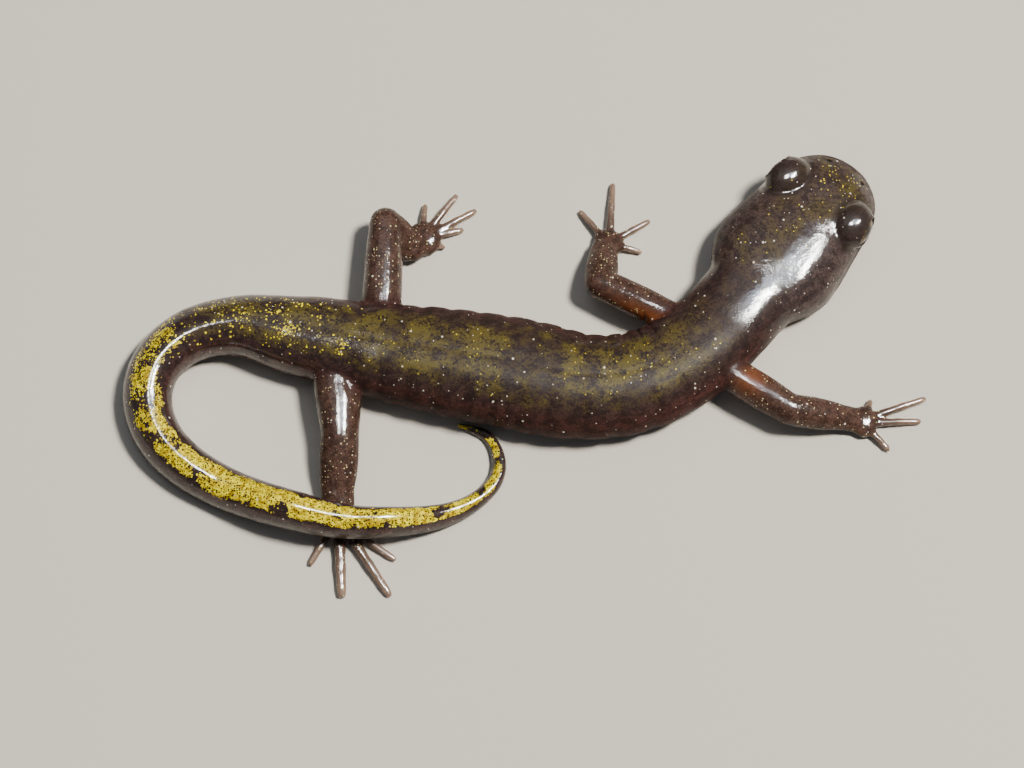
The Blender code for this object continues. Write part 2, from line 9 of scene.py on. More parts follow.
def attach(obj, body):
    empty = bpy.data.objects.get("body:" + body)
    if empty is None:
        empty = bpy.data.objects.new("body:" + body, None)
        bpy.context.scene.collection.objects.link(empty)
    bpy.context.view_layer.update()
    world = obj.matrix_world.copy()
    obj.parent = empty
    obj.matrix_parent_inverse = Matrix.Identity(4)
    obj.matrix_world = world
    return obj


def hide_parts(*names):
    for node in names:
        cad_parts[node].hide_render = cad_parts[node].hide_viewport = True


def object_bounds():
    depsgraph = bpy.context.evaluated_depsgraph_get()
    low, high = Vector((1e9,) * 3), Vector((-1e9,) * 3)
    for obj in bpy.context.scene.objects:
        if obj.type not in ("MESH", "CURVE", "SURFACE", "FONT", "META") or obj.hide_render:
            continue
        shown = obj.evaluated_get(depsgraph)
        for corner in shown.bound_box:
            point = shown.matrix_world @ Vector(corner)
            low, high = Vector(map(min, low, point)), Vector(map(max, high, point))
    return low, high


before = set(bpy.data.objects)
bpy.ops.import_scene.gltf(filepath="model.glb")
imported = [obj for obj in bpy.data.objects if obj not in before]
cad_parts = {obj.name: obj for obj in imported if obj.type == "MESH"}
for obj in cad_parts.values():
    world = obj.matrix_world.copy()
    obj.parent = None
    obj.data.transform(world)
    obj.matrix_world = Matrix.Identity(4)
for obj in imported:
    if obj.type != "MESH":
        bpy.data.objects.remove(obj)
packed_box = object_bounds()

# Trunk and tail
# The real trunk is one soft, wet-skinned tube with a row of costal grooves down each flank, and the
# tail is its continuation, pressed flat from side to side with a low keel along the top.
BODY_ROUTE = (
    (18.1, 7.6), (16.8, 6.0), (13.45, 2.3), (9.5, -0.3), (5.2, -1.0), (0.0, 0.0), (-5.2, 0.95),
    (-10.2, 1.85), (-15.0, 3.0), (-19.0, 3.95), (-22.5, 3.4), (-24.9, 1.4), (-25.65, -1.3),
    (-24.8, -4.1), (-22.6, -6.4), (-19.0, -8.4), (-15.0, -9.95), (-10.8, -10.8), (-6.8, -10.45),
    (-3.6, -9.35), (-1.6, -7.7), (-1.05, -5.9), (-1.8, -4.05), (-3.9, -3.1),
)
NECK_POINT = 1
HALF_WIDTHS = (
    (0.0, 3.4), (3.0, 3.3), (7.0, 3.45), (13.0, 3.65), (18.0, 3.95), (24.0, 3.8), (28.0, 3.45),
    (31.0, 3.15), (35.0, 2.8), (39.0, 2.2), (43.0, 1.95), (50.0, 1.7), (57.0, 1.5), (63.0, 1.35),
    (68.0, 1.1), (72.0, 0.92), (75.0, 0.7), (78.0, 0.54), (80.5, 0.42), (82.3, 0.3), (83.6, 0.16),
)
BACK_HEIGHTS = (
    (0.0, 4.6), (4.0, 4.7), (9.0, 5.1), (18.0, 5.5), (26.0, 5.3), (33.0, 4.7), (39.0, 4.25),
    (46.0, 3.8), (54.0, 3.3), (62.0, 2.8), (70.0, 2.3), (76.0, 1.55), (80.0, 1.0), (83.6, 0.45),
)
TAIL_LEAN = ((33.0, 0.0), (44.0, 0.18), (56.0, 0.0), (74.0, 0.0), (79.0, -0.3), (83.5, -0.1))
KEEL_FROM = (33.0, 9.0)
LIFT_CENTRE, LIFT_HEIGHT, LIFT_FLAT, LIFT_FALL = 66.0, 1.5, 2.4, 6.5
WIDEST_SHARE, KEEL_DROP, BELLY_SAG = 0.46, 0.08, 0.1
TRUNK_ROUNDNESS, KEEL_SHARPNESS, TOP_ROUNDNESS = 0.84, 0.42, 0.92
BODY_SIDES, BODY_STEP = 56, 0.25
NECK_OVERLAP = 2.0


def between(knots, places):
    """Smooth values at the places, through knots of (place, value)."""
    x, y = np.array(knots, dtype=float).T
    places = np.clip(np.asarray(places, dtype=float), x[0], x[-1])
    i = np.clip(np.searchsorted(x, places, side="right") - 1, 0, len(x) - 2)
    order = np.arange(len(x))
    low, high = np.maximum(order - 1, 0), np.minimum(order + 1, len(x) - 1)
    slope = (y[high] - y[low]) / (x[high] - x[low])
    width = x[i + 1] - x[i]
    t = (places - x[i]) / width
    return (
        y[i] * (2 * t**3 - 3 * t**2 + 1) + slope[i] * width * (t**3 - 2 * t**2 + t)
        + y[i + 1] * (3 * t**2 - 2 * t**3) + slope[i + 1] * width * (t**3 - t**2)
    )


def ease(t):
    """0 below 0 and 1 above 1, with a soft rise between."""
    t = np.clip(t, 0.0, 1.0)
    return t * t * (3 - 2 * t)


def rising(value, start, width):
    """0 up to the start, and 1 from the width past it."""
    return ease((value - start) / width)


def falling(value, start, width):
    """1 up to the start, and 0 from the width past it."""
    return 1 - rising(value, start, width)


def hump(offset, width):
    """1 at no offset, falling smoothly to 0 a few widths away."""
    return np.exp(-(offset / width) ** 2)


def signed_power(value, power):
    """The power of the size of a value, with the value's own sign."""
    return np.sign(value) * np.abs(value) ** power


class Route:
    """A smooth curve through points, read by the distance along it in millimetres."""

    def __init__(self, points, start=0, fine=30):
        points = np.array(points, dtype=float)
        ends = np.vstack([2 * points[0] - points[1], points, 2 * points[-1] - points[-2]])
        a, b, c, d = (ends[k:len(ends) - 3 + k, None, :] for k in range(4))
        t = (np.arange(fine) / fine)[None, :, None]
        curve = 0.5 * (
            2 * b + (c - a) * t + (2 * a - 5 * b + 4 * c - d) * t**2
            + (3 * b - a - 3 * c + d) * t**3
        )
        self.points = np.vstack([curve.reshape(-1, points.shape[1]), points[-1:]])
        steps = np.linalg.norm(np.diff(self.points, axis=0), axis=1)
        self.distances = np.concatenate([[0.0], np.cumsum(steps)])
        self.distances -= self.distances[start * fine]

    def at(self, distance):
        return np.stack([np.interp(distance, self.distances, axis) for axis in self.points.T], -1)

    def along(self, distance, reach=0.25):
        step = self.at(np.asarray(distance) + reach) - self.at(np.asarray(distance) - reach)
        return step / np.linalg.norm(step, axis=-1, keepdims=True)


BODY = Route(BODY_ROUTE, NECK_POINT)


def body_sizes(distance):
    """Half width, underside, back and widest height, keel and lean of the section there."""
    beyond = np.abs(distance - LIFT_CENTRE) - LIFT_FLAT
    under = LIFT_HEIGHT * falling(beyond, 0.0, LIFT_FALL)
    back = between(BACK_HEIGHTS, distance) + under
    keel = rising(distance, *KEEL_FROM)
    middle = under + (WIDEST_SHARE - KEEL_DROP * keel) * (back - under)
    return between(HALF_WIDTHS, distance), under, back, middle, keel, between(TAIL_LEAN, distance)


def mesh_piece(name, points, faces):
    """A mesh object in millimetres from points and faces, with its normals facing out."""
    shape = bmesh.new()
    corners = [shape.verts.new(p) for p in np.asarray(points).tolist()]
    for face in faces:
        shape.faces.new([corners[i] for i in face])
    bmesh.ops.remove_doubles(shape, verts=shape.verts, dist=0.0005)
    bmesh.ops.recalc_face_normals(shape, faces=shape.faces)
    mesh = bpy.data.meshes.new(name)
    shape.to_mesh(mesh)
    shape.free()
    piece = bpy.data.objects.new(name, mesh)
    bpy.context.scene.collection.objects.link(piece)
    return piece


def tube_piece(name, rings):
    """Rings of points joined into one closed tube with flat ends."""
    rings = np.asarray(rings)
    count, sides = rings.shape[:2]
    faces = [tuple(range(sides)), tuple((count - 1) * sides + i for i in range(sides))]
    for k in range(count - 1):
        for i in range(sides):
            j = (i + 1) % sides
            here, beyond = k * sides, (k + 1) * sides
            faces.append((here + i, here + j, beyond + j, beyond + i))
    return mesh_piece(name, rings.reshape(-1, 3), faces)


def body_rings(distance, sides):
    """Rings of points round the body, one for each distance along it."""
    half_width, under, back, middle, keel, lean = (
        value[:, None] for value in body_sizes(distance)
    )
    turn = 2 * np.pi * (np.arange(sides) + 0.5)[None, :] / sides
    cosine, sine = np.cos(turn), np.sin(turn)
    sag = BELLY_SAG * (back - under)
    upper = sine > 0
    roundness = TRUNK_ROUNDNESS + np.where(upper, KEEL_SHARPNESS * keel, 0.0)
    across = half_width * signed_power(cosine, roundness)
    rise = np.where(upper, back - middle, middle - under + sag)
    up = np.maximum(middle + rise * signed_power(sine, TOP_ROUNDNESS), under)
    across = across + lean * (up - under)
    centre, along = BODY.at(distance), BODY.along(distance)
    side = np.stack([-along[:, 1], along[:, 0]], -1)
    plan = centre[:, None, :] + side[:, None, :] * across[:, :, None]
    return np.concatenate([plan, up[:, :, None]], -1)


stations = np.arange(-NECK_OVERLAP, BODY.distances[-1], BODY_STEP)
flesh = [tube_piece("trunk_and_tail", body_rings(stations, BODY_SIDES))]

# Head
# The real head is a broad, flat wedge of bone and jaw muscle under thin wet skin. The mouth line
# runs right round it, the nostrils open near the tip, and each eye bulges out sideways in its lids.
HEAD_YAW, HEAD_SHIFT = 51.5, 0.12
HEAD_OUTLINE = (
    (0.0, 3.45), (1.2, 4.2), (2.7, 4.65), (4.7, 4.5), (6.8, 4.22), (8.7, 3.88), (10.3, 3.3),
    (11.4, 2.3), (12.0, 1.15), (12.18, 0.0),
)
SNOUT_CENTRE = 8.9
CROWN_HEIGHTS = ((0.0, 4.55), (3.0, 4.75), (6.0, 4.6), (8.5, 4.25), (10.5, 3.75), (12.1, 3.05))
MOUTH_HEIGHTS = ((0.0, 2.2), (4.0, 1.7), (6.5, 1.85), (9.0, 2.1), (12.1, 1.95))
CHIN_HEIGHTS = ((0.0, 0.2), (2.0, 0.25), (6.0, 0.35), (9.0, 0.6), (11.0, 0.95), (12.1, 1.2))
CROWN_POWER, CHIN_POWER = 2.2, 3.0
MOUTH_CORNER = 3.9
HEAD_STATIONS, HEAD_RINGS = 70, 18
EYE_PLACE = Vector((8.1, 2.8, 3.3))
DOME_SIZE = (1.8, 1.45, 1.52)
OPENING_SIZE, OPENING_DEPTHS = (1.12, 0.84), (0.15, 3.0)
LID_RADIUS, LID_SINK = 0.13, 0.03
EYE_SIZE = (1.6, 1.32, 1.42)
EYE_FORWARD_TURN, EYE_UPWARD_TURN = math.radians(10.0), math.radians(8.0)
NOSTRIL_PLACE, NOSTRIL_RADIUS = Vector((11.3, 1.45, 3.0)), 0.26

head_turn = Matrix.Rotation(math.radians(HEAD_YAW), 4, "Z")
head_shift = head_turn.to_3x3() @ Vector((0.0, HEAD_SHIFT, 0.0))
HEAD = Matrix.Translation(Vector((*BODY.at(0.0), 0.0)) + head_shift) @ head_turn


def head_columns():
    """Upright sections from crown to chin, all round the outline of the head."""
    outline = Route(HEAD_OUTLINE)
    half = outline.at(np.linspace(0.0, outline.distances[-1], HEAD_STATIONS + 1))
    rims = np.vstack([half, half[-2::-1] * (1, -1)])
    columns = []
    for rim in rims:
        medial = np.array([min(rim[0], SNOUT_CENTRE), 0.0])
        level = between(MOUTH_HEIGHTS, rim[0])
        column = []
        for k in range(2 * HEAD_RINGS + 1):
            turn = (1 - k / HEAD_RINGS) * math.pi / 2
            power = CROWN_POWER if turn > 0 else CHIN_POWER
            share = max(0.0, math.cos(turn)) ** (2 / power) if 0 < k < 2 * HEAD_RINGS else 0.0
            spot = medial + (rim - medial) * share
            edge = between(CROWN_HEIGHTS if turn > 0 else CHIN_HEIGHTS, spot[0])
            column.append((*spot, level + (edge - level) * abs(math.sin(turn)) ** (2 / power)))
        columns.append(column)
    return np.array(columns)


def moved(matrix, points):
    """Points carried by a matrix."""
    turn, shift = np.array(matrix.to_3x3()), np.array(matrix.to_translation())
    return np.asarray(points) @ turn.T + shift


def ball_piece(name, matrix, size, segments=40, rings=24):
    """A ball stretched to three half sizes and carried by a matrix."""
    shape = bmesh.new()
    bmesh.ops.create_uvsphere(
        shape, u_segments=segments, v_segments=rings, radius=1.0,
        matrix=matrix @ Matrix.Diagonal((*size, 1.0)),
    )
    mesh = bpy.data.meshes.new(name)
    shape.to_mesh(mesh)
    shape.free()
    piece = bpy.data.objects.new(name, mesh)
    bpy.context.scene.collection.objects.link(piece)
    return piece


def oval_rings(matrix, heights, size, sides=36):
    """Oval rings of one size across the matrix's Z axis, one at each height."""
    turn = 2 * np.pi * np.arange(sides) / sides
    x, y = size[0] * np.cos(turn), size[1] * np.sin(turn)
    return [moved(matrix, np.stack([x, y, np.full(sides, height)], -1)) for height in heights]


def lid_rim(name, matrix, around=48, sides=12):
    """The thin round rim that lies on the lid dome, round the oval opening."""
    faces = []
    points = []
    for i in range(around):
        turn = 2 * math.pi * i / around
        out = Vector((math.cos(turn), math.sin(turn), 0.0))
        for k in range(sides):
            tilt = 2 * math.pi * k / sides
            spot = Vector((out.x * OPENING_SIZE[0], out.y * OPENING_SIZE[1], -LID_SINK))
            bow = 1 - (spot.x / DOME_SIZE[0]) ** 2 - (spot.y / DOME_SIZE[1]) ** 2
            spot.z += DOME_SIZE[2] * math.sqrt(bow)
            spot += out * LID_RADIUS * math.cos(tilt) + Vector((0, 0, LID_RADIUS * math.sin(tilt)))
            points.append(matrix @ spot)
            here, after, beside = i * sides, (i + 1) % around * sides, (k + 1) % sides
            faces.append((here + k, after + k, after + beside, here + beside))
    return mesh_piece(name, points, faces)


def eye_matrix(side):
    """The frame of one eye: Z looks out through the lids, X runs forward and Y up."""
    level = math.cos(EYE_UPWARD_TURN)
    out = Vector((
        math.sin(EYE_FORWARD_TURN) * level, side * math.cos(EYE_FORWARD_TURN) * level,
        math.sin(EYE_UPWARD_TURN),
    ))
    ahead = Vector((1, 0, 0))
    ahead = (ahead - out * ahead.dot(out)).normalized()
    turn = Matrix((ahead, out.cross(ahead), out)).transposed().to_4x4()
    place = Matrix.Translation((EYE_PLACE.x, side * EYE_PLACE.y, EYE_PLACE.z))
    return HEAD @ place @ turn


columns = head_columns()
count, rows = columns.shape[:2]
sheet = [
    (i * rows + k, i * rows + k + 1, (i + 1) * rows + k + 1, (i + 1) * rows + k)
    for i in range(count - 1) for k in range(rows - 1)
]
last = (count - 1) * rows
back_of_head = (*range(rows), *range(last + rows - 2, last, -1))
flesh.append(mesh_piece("head_form", moved(HEAD, columns.reshape(-1, 3)), sheet + [back_of_head]))

sockets = []
for side in (1, -1):
    eye = eye_matrix(side)
    flesh.append(ball_piece("lid_dome", eye, DOME_SIZE))
    flesh.append(lid_rim("lid_rim", eye))
    sockets.append(tube_piece("socket", oval_rings(eye, OPENING_DEPTHS, OPENING_SIZE)))
    at_nostril = Matrix.Translation((NOSTRIL_PLACE.x, side * NOSTRIL_PLACE.y, NOSTRIL_PLACE.z))
    sockets.append(ball_piece("nostril", HEAD @ at_nostril, (NOSTRIL_RADIUS,) * 3, 16, 10))

# Limbs and feet
# Each real limb is a slim upper and lower length of muscle round thin bones, with no claws. The
# forefeet carry four toes and the hind feet five, flat below and rounded at the tips.
LIMBS = {
    "arm_right": {
        "root": (14.6, 0.4, 2.6, 1.15, 1.2), "bend": (19.3, -2.6, 2.3, 1.1, 1.1),
        "end": (23.1, -2.8, 1.05, 0.92, 0.75), "palm": (24.6, -2.95, 1.15, 1.0),
        "toes": (
            ((24.9, -2.2), (25.2, -1.2), 0.28), ((25.3, -2.5), (29.1, -1.15), 0.31),
            ((25.4, -3.1), (28.7, -2.85), 0.31), ((25.0, -3.6), (26.4, -5.05), 0.29),
        ),
    },
    "arm_left": {
        "root": (12.0, 3.7, 2.6, 0.95, 1.1), "bend": (6.2, 6.7, 2.3, 1.1, 1.1),
        "end": (6.5, 9.5, 1.05, 1.0, 0.75), "palm": (6.9, 10.4, 1.15, 1.0),
        "toes": (
            ((7.6, 10.1), (9.3, 9.75), 0.28), ((7.4, 10.6), (9.9, 12.2), 0.3),
            ((7.0, 10.9), (7.25, 15.1), 0.31), ((6.4, 10.8), (4.8, 13.0), 0.29),
        ),
    },
    "leg_right": {
        "root": (-12.3, 1.4, 2.5, 1.75, 1.35), "bend": (-11.9, -4.4, 2.35, 1.33, 1.25),
        "end": (-12.1, -8.0, 1.15, 1.2, 0.85), "palm": (-11.9, -10.0, 1.3, 1.55),
        "toes": (
            ((-11.0, -10.2), (-9.4, -10.9), 0.28), ((-11.0, -11.0), (-8.0, -12.9), 0.3),
            ((-11.2, -11.2), (-8.35, -15.5), 0.38), ((-12.0, -11.2), (-11.7, -15.65), 0.44),
            ((-12.7, -10.9), (-14.0, -13.3), 0.3),
        ),
    },
    "leg_left": {
        "root": (-9.2, 3.2, 2.5, 1.4, 1.3), "bend": (-8.95, 11.1, 2.6, 1.15, 1.15),
        "end": (-7.3, 9.8, 1.1, 1.1, 0.8), "palm": (-6.3, 10.7, 1.3, 1.2),
        "toes": (
            ((-5.8, 10.2), (-4.7, 10.1), 0.28), ((-5.6, 10.8), (-3.4, 11.5), 0.3),
            ((-5.6, 11.1), (-2.5, 13.0), 0.32), ((-6.0, 11.4), (-3.9, 14.2), 0.32),
            ((-6.5, 11.5), (-6.2, 13.5), 0.29),
        ),
    },
}
PALM_HEIGHT, PALM_HALF_HEIGHT = 0.55, 0.6
TOE_HEIGHT, TOE_ROOT_HEIGHT, TOE_ARCH = 0.28, 0.4, 0.12
TOE_GIRTHS = (
    (0.0, 1.1), (0.3, 0.98), (0.45, 0.84), (0.55, 0.92), (0.75, 0.8), (0.9, 0.82), (1.0, 0.7),
)
MUSCLE_SWELL = 0.12
WRIST_NARROWING, WRIST_FLATTENING = 0.8, 0.85
TOE_ROOT_SHARE, TOE_TIP_SETBACK = 0.6, 0.7


def limb_tube(name, centres, half_widths, half_heights, sides=20):
    """A round-ended tube of oval section along a row of centres."""
    centres = np.asarray(centres, dtype=float)
    ways = np.gradient(centres, axis=0)
    ways /= np.linalg.norm(ways, axis=1, keepdims=True)
    cap = np.radians((75, 50, 25))
    parts = [
        (centres[0] - ways[0] * half_heights[0] * math.sin(a), ways[0], 0, math.cos(a)) for a in cap
    ]
    parts += [(centres[k], ways[k], k, 1.0) for k in range(len(centres))]
    parts += [
        (centres[-1] + ways[-1] * half_heights[-1] * math.sin(a), ways[-1], -1, math.cos(a))
        for a in cap[::-1]
    ]
    turn = 2 * np.pi * np.arange(sides)[:, None] / sides
    rings = []
    for centre, way, k, scale in parts:
        side = np.cross((0, 0, 1), way)
        side /= np.linalg.norm(side)
        lift = np.cross(way, side)
        rings.append(
            centre + side * half_widths[k] * scale * np.cos(turn)
            + lift * half_heights[k] * scale * np.sin(turn)
        )
    return tube_piece(name, rings)


def limb_length(name, a, b, swell):
    """One straight length of a limb, a little fuller at its middle."""
    share = np.linspace(0.0, 1.0, 9)[:, None]
    row = np.array(a) * (1 - share) + np.array(b) * share
    fuller = swell * np.sin(np.pi * share[:, 0])
    return limb_tube(name, row[:, :3], row[:, 3] + fuller, row[:, 4] + fuller)


limb_bones = []
palms = []
for plan in LIMBS.values():
    palm_x, palm_y, palm_across, palm_along = plan["palm"]
    palm_at = np.array((palm_x, palm_y, PALM_HEIGHT))
    palms.append(palm_at)
    wrist = (*palm_at, palm_across * WRIST_NARROWING, PALM_HALF_HEIGHT * WRIST_FLATTENING)
    for rank, (name, a, b, swell) in enumerate((
        ("upper_limb", plan["root"], plan["bend"], MUSCLE_SWELL),
        ("lower_limb", plan["bend"], plan["end"], MUSCLE_SWELL),
        ("wrist", plan["end"], wrist, 0.0),
    )):
        flesh.append(limb_length(name, a, b, swell))
        limb_bones.append((a, b, rank))
    way = palm_at - np.array(plan["end"][:3])
    palm_turn = Matrix.Rotation(math.atan2(way[1], way[0]), 4, "Z")
    palm_place = Matrix.Translation(palm_at.tolist()) @ palm_turn
    palm_size = (palm_along, palm_across, PALM_HALF_HEIGHT)
    flesh.append(ball_piece("palm", palm_place, palm_size, 32, 16))
    for toe_root, toe_tip, radius in plan["toes"]:
        start = palm_at + TOE_ROOT_SHARE * (np.array((*toe_root, TOE_ROOT_HEIGHT)) - palm_at)
        tip = np.array((*toe_tip, TOE_HEIGHT))
        tip = tip - (tip - start) / np.linalg.norm(tip - start) * radius * TOE_TIP_SETBACK
        share = np.linspace(0.0, 1.0, 14)
        centres = start + (tip - start) * share[:, None]
        centres[:, 2] += TOE_ARCH * np.sin(np.pi * share)
        girth = radius * between(TOE_GIRTHS, share)
        flesh.append(limb_tube("toe", centres, girth, girth, 16))
        limb_bones.append(((*start, radius, radius), (*tip, radius, radius), 3))

# Skin
# One thin, wet, scaleless skin covers the whole animal without a seam. It creases at the costal
# grooves, at the throat fold and where the limbs leave the body, and is lighter below.
VOXEL = 0.09
SKIN_SMOOTHING, JOIN_SMOOTHING, NECK_SMOOTHING = 7, 36, 170
SURFACE_STEP, SURFACE_SIDES = 0.12, 72
JOIN_REACH, PALM_REACH, NECK_REACH = 1.15, 1.3, 1.5
BODY_JOIN_LIMIT, BODY_JOIN_WIDTH = 1.6, 0.3
LIMB_JOIN_LIMIT, LIMB_JOIN_WIDTH = 1.8, 0.35
PALM_SOFTNESS, CLEAR_OF_LIMBS = 0.5, (1.3, 1.0)
SHOULDER_LINE = 12.0


def applied(piece):
    """The piece's mesh with its modifiers in it."""
    graph = bpy.context.evaluated_depsgraph_get()
    mesh = bpy.data.meshes.new_from_object(piece.evaluated_get(graph))
    piece.modifiers.clear()
    piece.data = mesh
    return mesh


def remove_pieces(pieces):
    """Takes pieces that are used up out of the scene."""
    for piece in pieces:
        bpy.data.objects.remove(piece, do_unlink=True)


def joined(name, pieces):
    """One object that holds the faces of all the pieces."""
    shape = bmesh.new()
    for piece in pieces:
        shape.from_mesh(piece.data)
    mesh = bpy.data.meshes.new(name)
    shape.to_mesh(mesh)
    shape.free()
    remove_pieces(pieces)
    made = bpy.data.objects.new(name, mesh)
    bpy.context.scene.collection.objects.link(made)
    return made


def remeshed(piece):
    """The piece made into one even skin."""
    change = piece.modifiers.new("Even skin", "REMESH")
    change.mode = "VOXEL"
    change.voxel_size = VOXEL
    applied(piece)


hollows = joined("hollows", sockets)
skin = joined("wet_skin", flesh)
remeshed(skin)
cut = skin.modifiers.new("Openings", "BOOLEAN")
cut.operation = "DIFFERENCE"
cut.solver = "MANIFOLD"
cut.object = hollows
applied(skin)
remove_pieces([hollows])
remeshed(skin)


def vertex_numbers(mesh):
    """The places and normals of a mesh's vertices."""
    places = np.empty(len(mesh.vertices) * 3)
    normals = np.empty(len(mesh.vertices) * 3)
    mesh.vertices.foreach_get("co", places)
    mesh.vertex_normals.foreach_get("vector", normals)
    return places.reshape(-1, 3), normals.reshape(-1, 3)


def body_place(places):
    """Distance along the body, offset to its right, and how far out a point lies: 1 on the skin."""
    route = np.arange(-1.5, BODY.distances[-1], SURFACE_STEP)
    rings = body_rings(route, SURFACE_SIDES).reshape(-1, 3).tolist()
    surface = kdtree.KDTree(len(rings))
    for i, point in enumerate(rings):
        surface.insert(point, i)
    surface.balance()
    nearest = np.array([surface.find(point)[1] for point in places.tolist()]) // SURFACE_SIDES
    centre, along = BODY.at(route)[nearest], BODY.along(route)[nearest]
    half_width, under, back, _, _, _ = body_sizes(route)
    half_height = ((back - under) / 2)[nearest]
    centre_height = ((back + under) / 2)[nearest]
    offset = places[:, :2] - centre
    distance = route[nearest] + (offset * along).sum(1)
    across = offset[:, 1] * along[:, 0] - offset[:, 0] * along[:, 1]
    level = (places[:, 2] - centre_height) / half_height
    return distance, across, np.hypot(across / half_width[nearest], level)


def limb_place(places):
    """How far out a point lies from the nearest limb length, and that length's rank and share."""
    best = np.full(len(places), 1e9)
    rank = np.zeros(len(places))
    share = np.zeros(len(places))
    for a, b, order in limb_bones:
        a, b = np.array(a), np.array(b)
        way = b[:3] - a[:3]
        t = np.clip(((places - a[:3]) @ way) / (way @ way), 0.0, 1.0)
        radius = a[3] * (1 - t) + b[3] * t
        out = np.linalg.norm(places - (a[:3] + t[:, None] * way), axis=1) / radius
        closer = out < best
        best[closer], rank[closer], share[closer] = out[closer], order, t[closer]
    return best, rank, share


places, _ = vertex_numbers(skin.data)
_, _, body_out = body_place(places)
limb_out, _, _ = limb_place(places)
near_body = hump(np.minimum(body_out, BODY_JOIN_LIMIT) - JOIN_REACH, BODY_JOIN_WIDTH)
near_limb = hump(np.minimum(limb_out, LIMB_JOIN_LIMIT) - JOIN_REACH, LIMB_JOIN_WIDTH)
near_join = near_body * near_limb
for palm in palms:
    near_palm = hump(np.linalg.norm(places - palm, axis=1), PALM_REACH)
    near_join = np.maximum(near_join, PALM_SOFTNESS * near_palm)
ahead_of_neck = moved(HEAD.inverted(), places)[:, 0]
near_neck = hump(ahead_of_neck - 0.1, NECK_REACH) * (places[:, 0] > SHOULDER_LINE)
near_neck *= rising(limb_out, *CLEAR_OF_LIMBS)
for name, weight, iterations in (
    ("skin", np.ones(len(places)), SKIN_SMOOTHING), ("joins", near_join, JOIN_SMOOTHING),
    ("neck", near_neck, NECK_SMOOTHING),
):
    group = skin.vertex_groups.new(name=name)
    for level in range(1, 11):
        chosen = np.flatnonzero(np.round(weight * 10) == level)
        group.add(chosen.tolist(), level / 10, "REPLACE")
    soft = skin.modifiers.new("Soft " + name, "SMOOTH")
    soft.factor = 0.5
    soft.iterations = iterations
    soft.vertex_group = name
applied(skin)

# Creases and swellings of the skin
# The real skin is drawn in between the ribs, folded under the throat and at the inside of the neck
# bend, and stretched over the jaw muscles, which stand out behind the eyes.
HEAD_FROM, LIMB_FROM = (-0.35, 0.7), (1.02, 0.3)
GROOVES = np.linspace(8.4, 30.4, 12)
GROOVE_DEPTH, GROOVE_WIDTH, GROOVE_SLANT = 0.1, 0.38, 0.35
GROOVE_TOP, GROOVE_FOOT = (0.22, 0.3), (1.2, 0.3)
THROAT_FOLD, THROAT_DEPTH, THROAT_WIDTH, THROAT_SLANT = 0.55, 0.14, 0.2, 0.5
BEND_FOLDS = ((8.6, 0.1), (9.9, 0.15), (11.6, 0.09))
BEND_FOLD_WIDTH, BEND_FOLD_SLANT, BEND_FOLD_FOOT = 0.16, 0.25, 1.4
INNER_SIDE = (0.35, 0.4)
LONG_FOLD_PLACE, LONG_FOLD_DEPTH, LONG_FOLD_WIDTH = -2.25, 0.11, 0.17
LONG_FOLD_SWAY, LONG_FOLD_BENDS = 0.2, 1.7
LONG_FOLD_FROM, LONG_FOLD_UNTIL = (9.6, 1.4), (14.4, 1.8)
FURROW_DEPTH, FURROW_WIDTH = 0.02, 0.25
FURROW_FROM, FURROW_UNTIL = (6.0, 4.0), (32.0, 4.0)
LIP_RIDGES = ((0.0, 0.085, -0.22), (0.3, 0.17, 0.07), (-0.3, 0.2, 0.04))
HEAD_BULGES = (
    ((4.2, 3.9, 2.9), 1.5, 0.08), ((10.4, 1.9, 3.5), 0.8, 0.06), ((8.2, 0.0, 4.5), 1.2, -0.14),
)
JAW_MUSCLE_PLACE, JAW_MUSCLE_WIDTH, JAW_MUSCLE_RISE = 2.9, 0.9, 0.09
JAW_MUSCLE_FROM, JAW_MUSCLE_UNTIL, JAW_MUSCLE_FOOT = (-1.0, 3.0), (4.5, 2.5), 0.8
RIPPLE_SIZE, RIPPLE_HEIGHT = 1.3, 0.022
FINE_RIPPLE_SIZE, FINE_RIPPLE_HEIGHT = 0.38, 0.006
TAUT_TAIL_FROM, TAUT_TAIL_SHARE = (34.0, 6.0), 0.6

places, normals = vertex_numbers(skin.data)
distance, across, body_out = body_place(places)
limb_out, limb_rank, limb_share = limb_place(places)
in_head = moved(HEAD.inverted(), places)
ahead, aside, height = in_head.T
head_share = rising(ahead, *HEAD_FROM) * (body_out < 9) * (np.abs(aside) < 6.0) * (limb_out > 1.6)
head_share *= rising(places[:, 0], SHOULDER_LINE, 1.0)
limb_share_of_skin = rising(body_out, *LIMB_FROM) * (limb_out < 1.7) * (1 - head_share)
on_body = (1 - head_share) * (1 - limb_share_of_skin)

# The crest runs from 0 on the back over 1 at the widest line to 2 under the belly or chin.
half_width, under, back, middle, _, _ = body_sizes(distance)
above_middle = places[:, 2] - middle
rise = np.where(
    above_middle > 0, above_middle / (back - middle), above_middle / np.maximum(middle - under, 0.1)
)
crest = np.arctan2(np.clip(np.abs(across) / half_width, 0.0, 1.5), rise) * 2 / np.pi
mouth = between(MOUTH_HEIGHTS, ahead)
above_mouth = height - mouth
crown_rise = above_mouth / (between(CROWN_HEIGHTS, ahead) - mouth)
chin_drop = above_mouth / (mouth - between(CHIN_HEIGHTS, ahead))
head_crest = 1 - np.where(above_mouth > 0, crown_rise, chin_drop)
crest = crest * (1 - head_share) + np.clip(head_crest, 0.0, 2.0) * head_share
distance = distance * (1 - head_share) - ahead * head_share
across = across * (1 - head_share) - aside * head_share

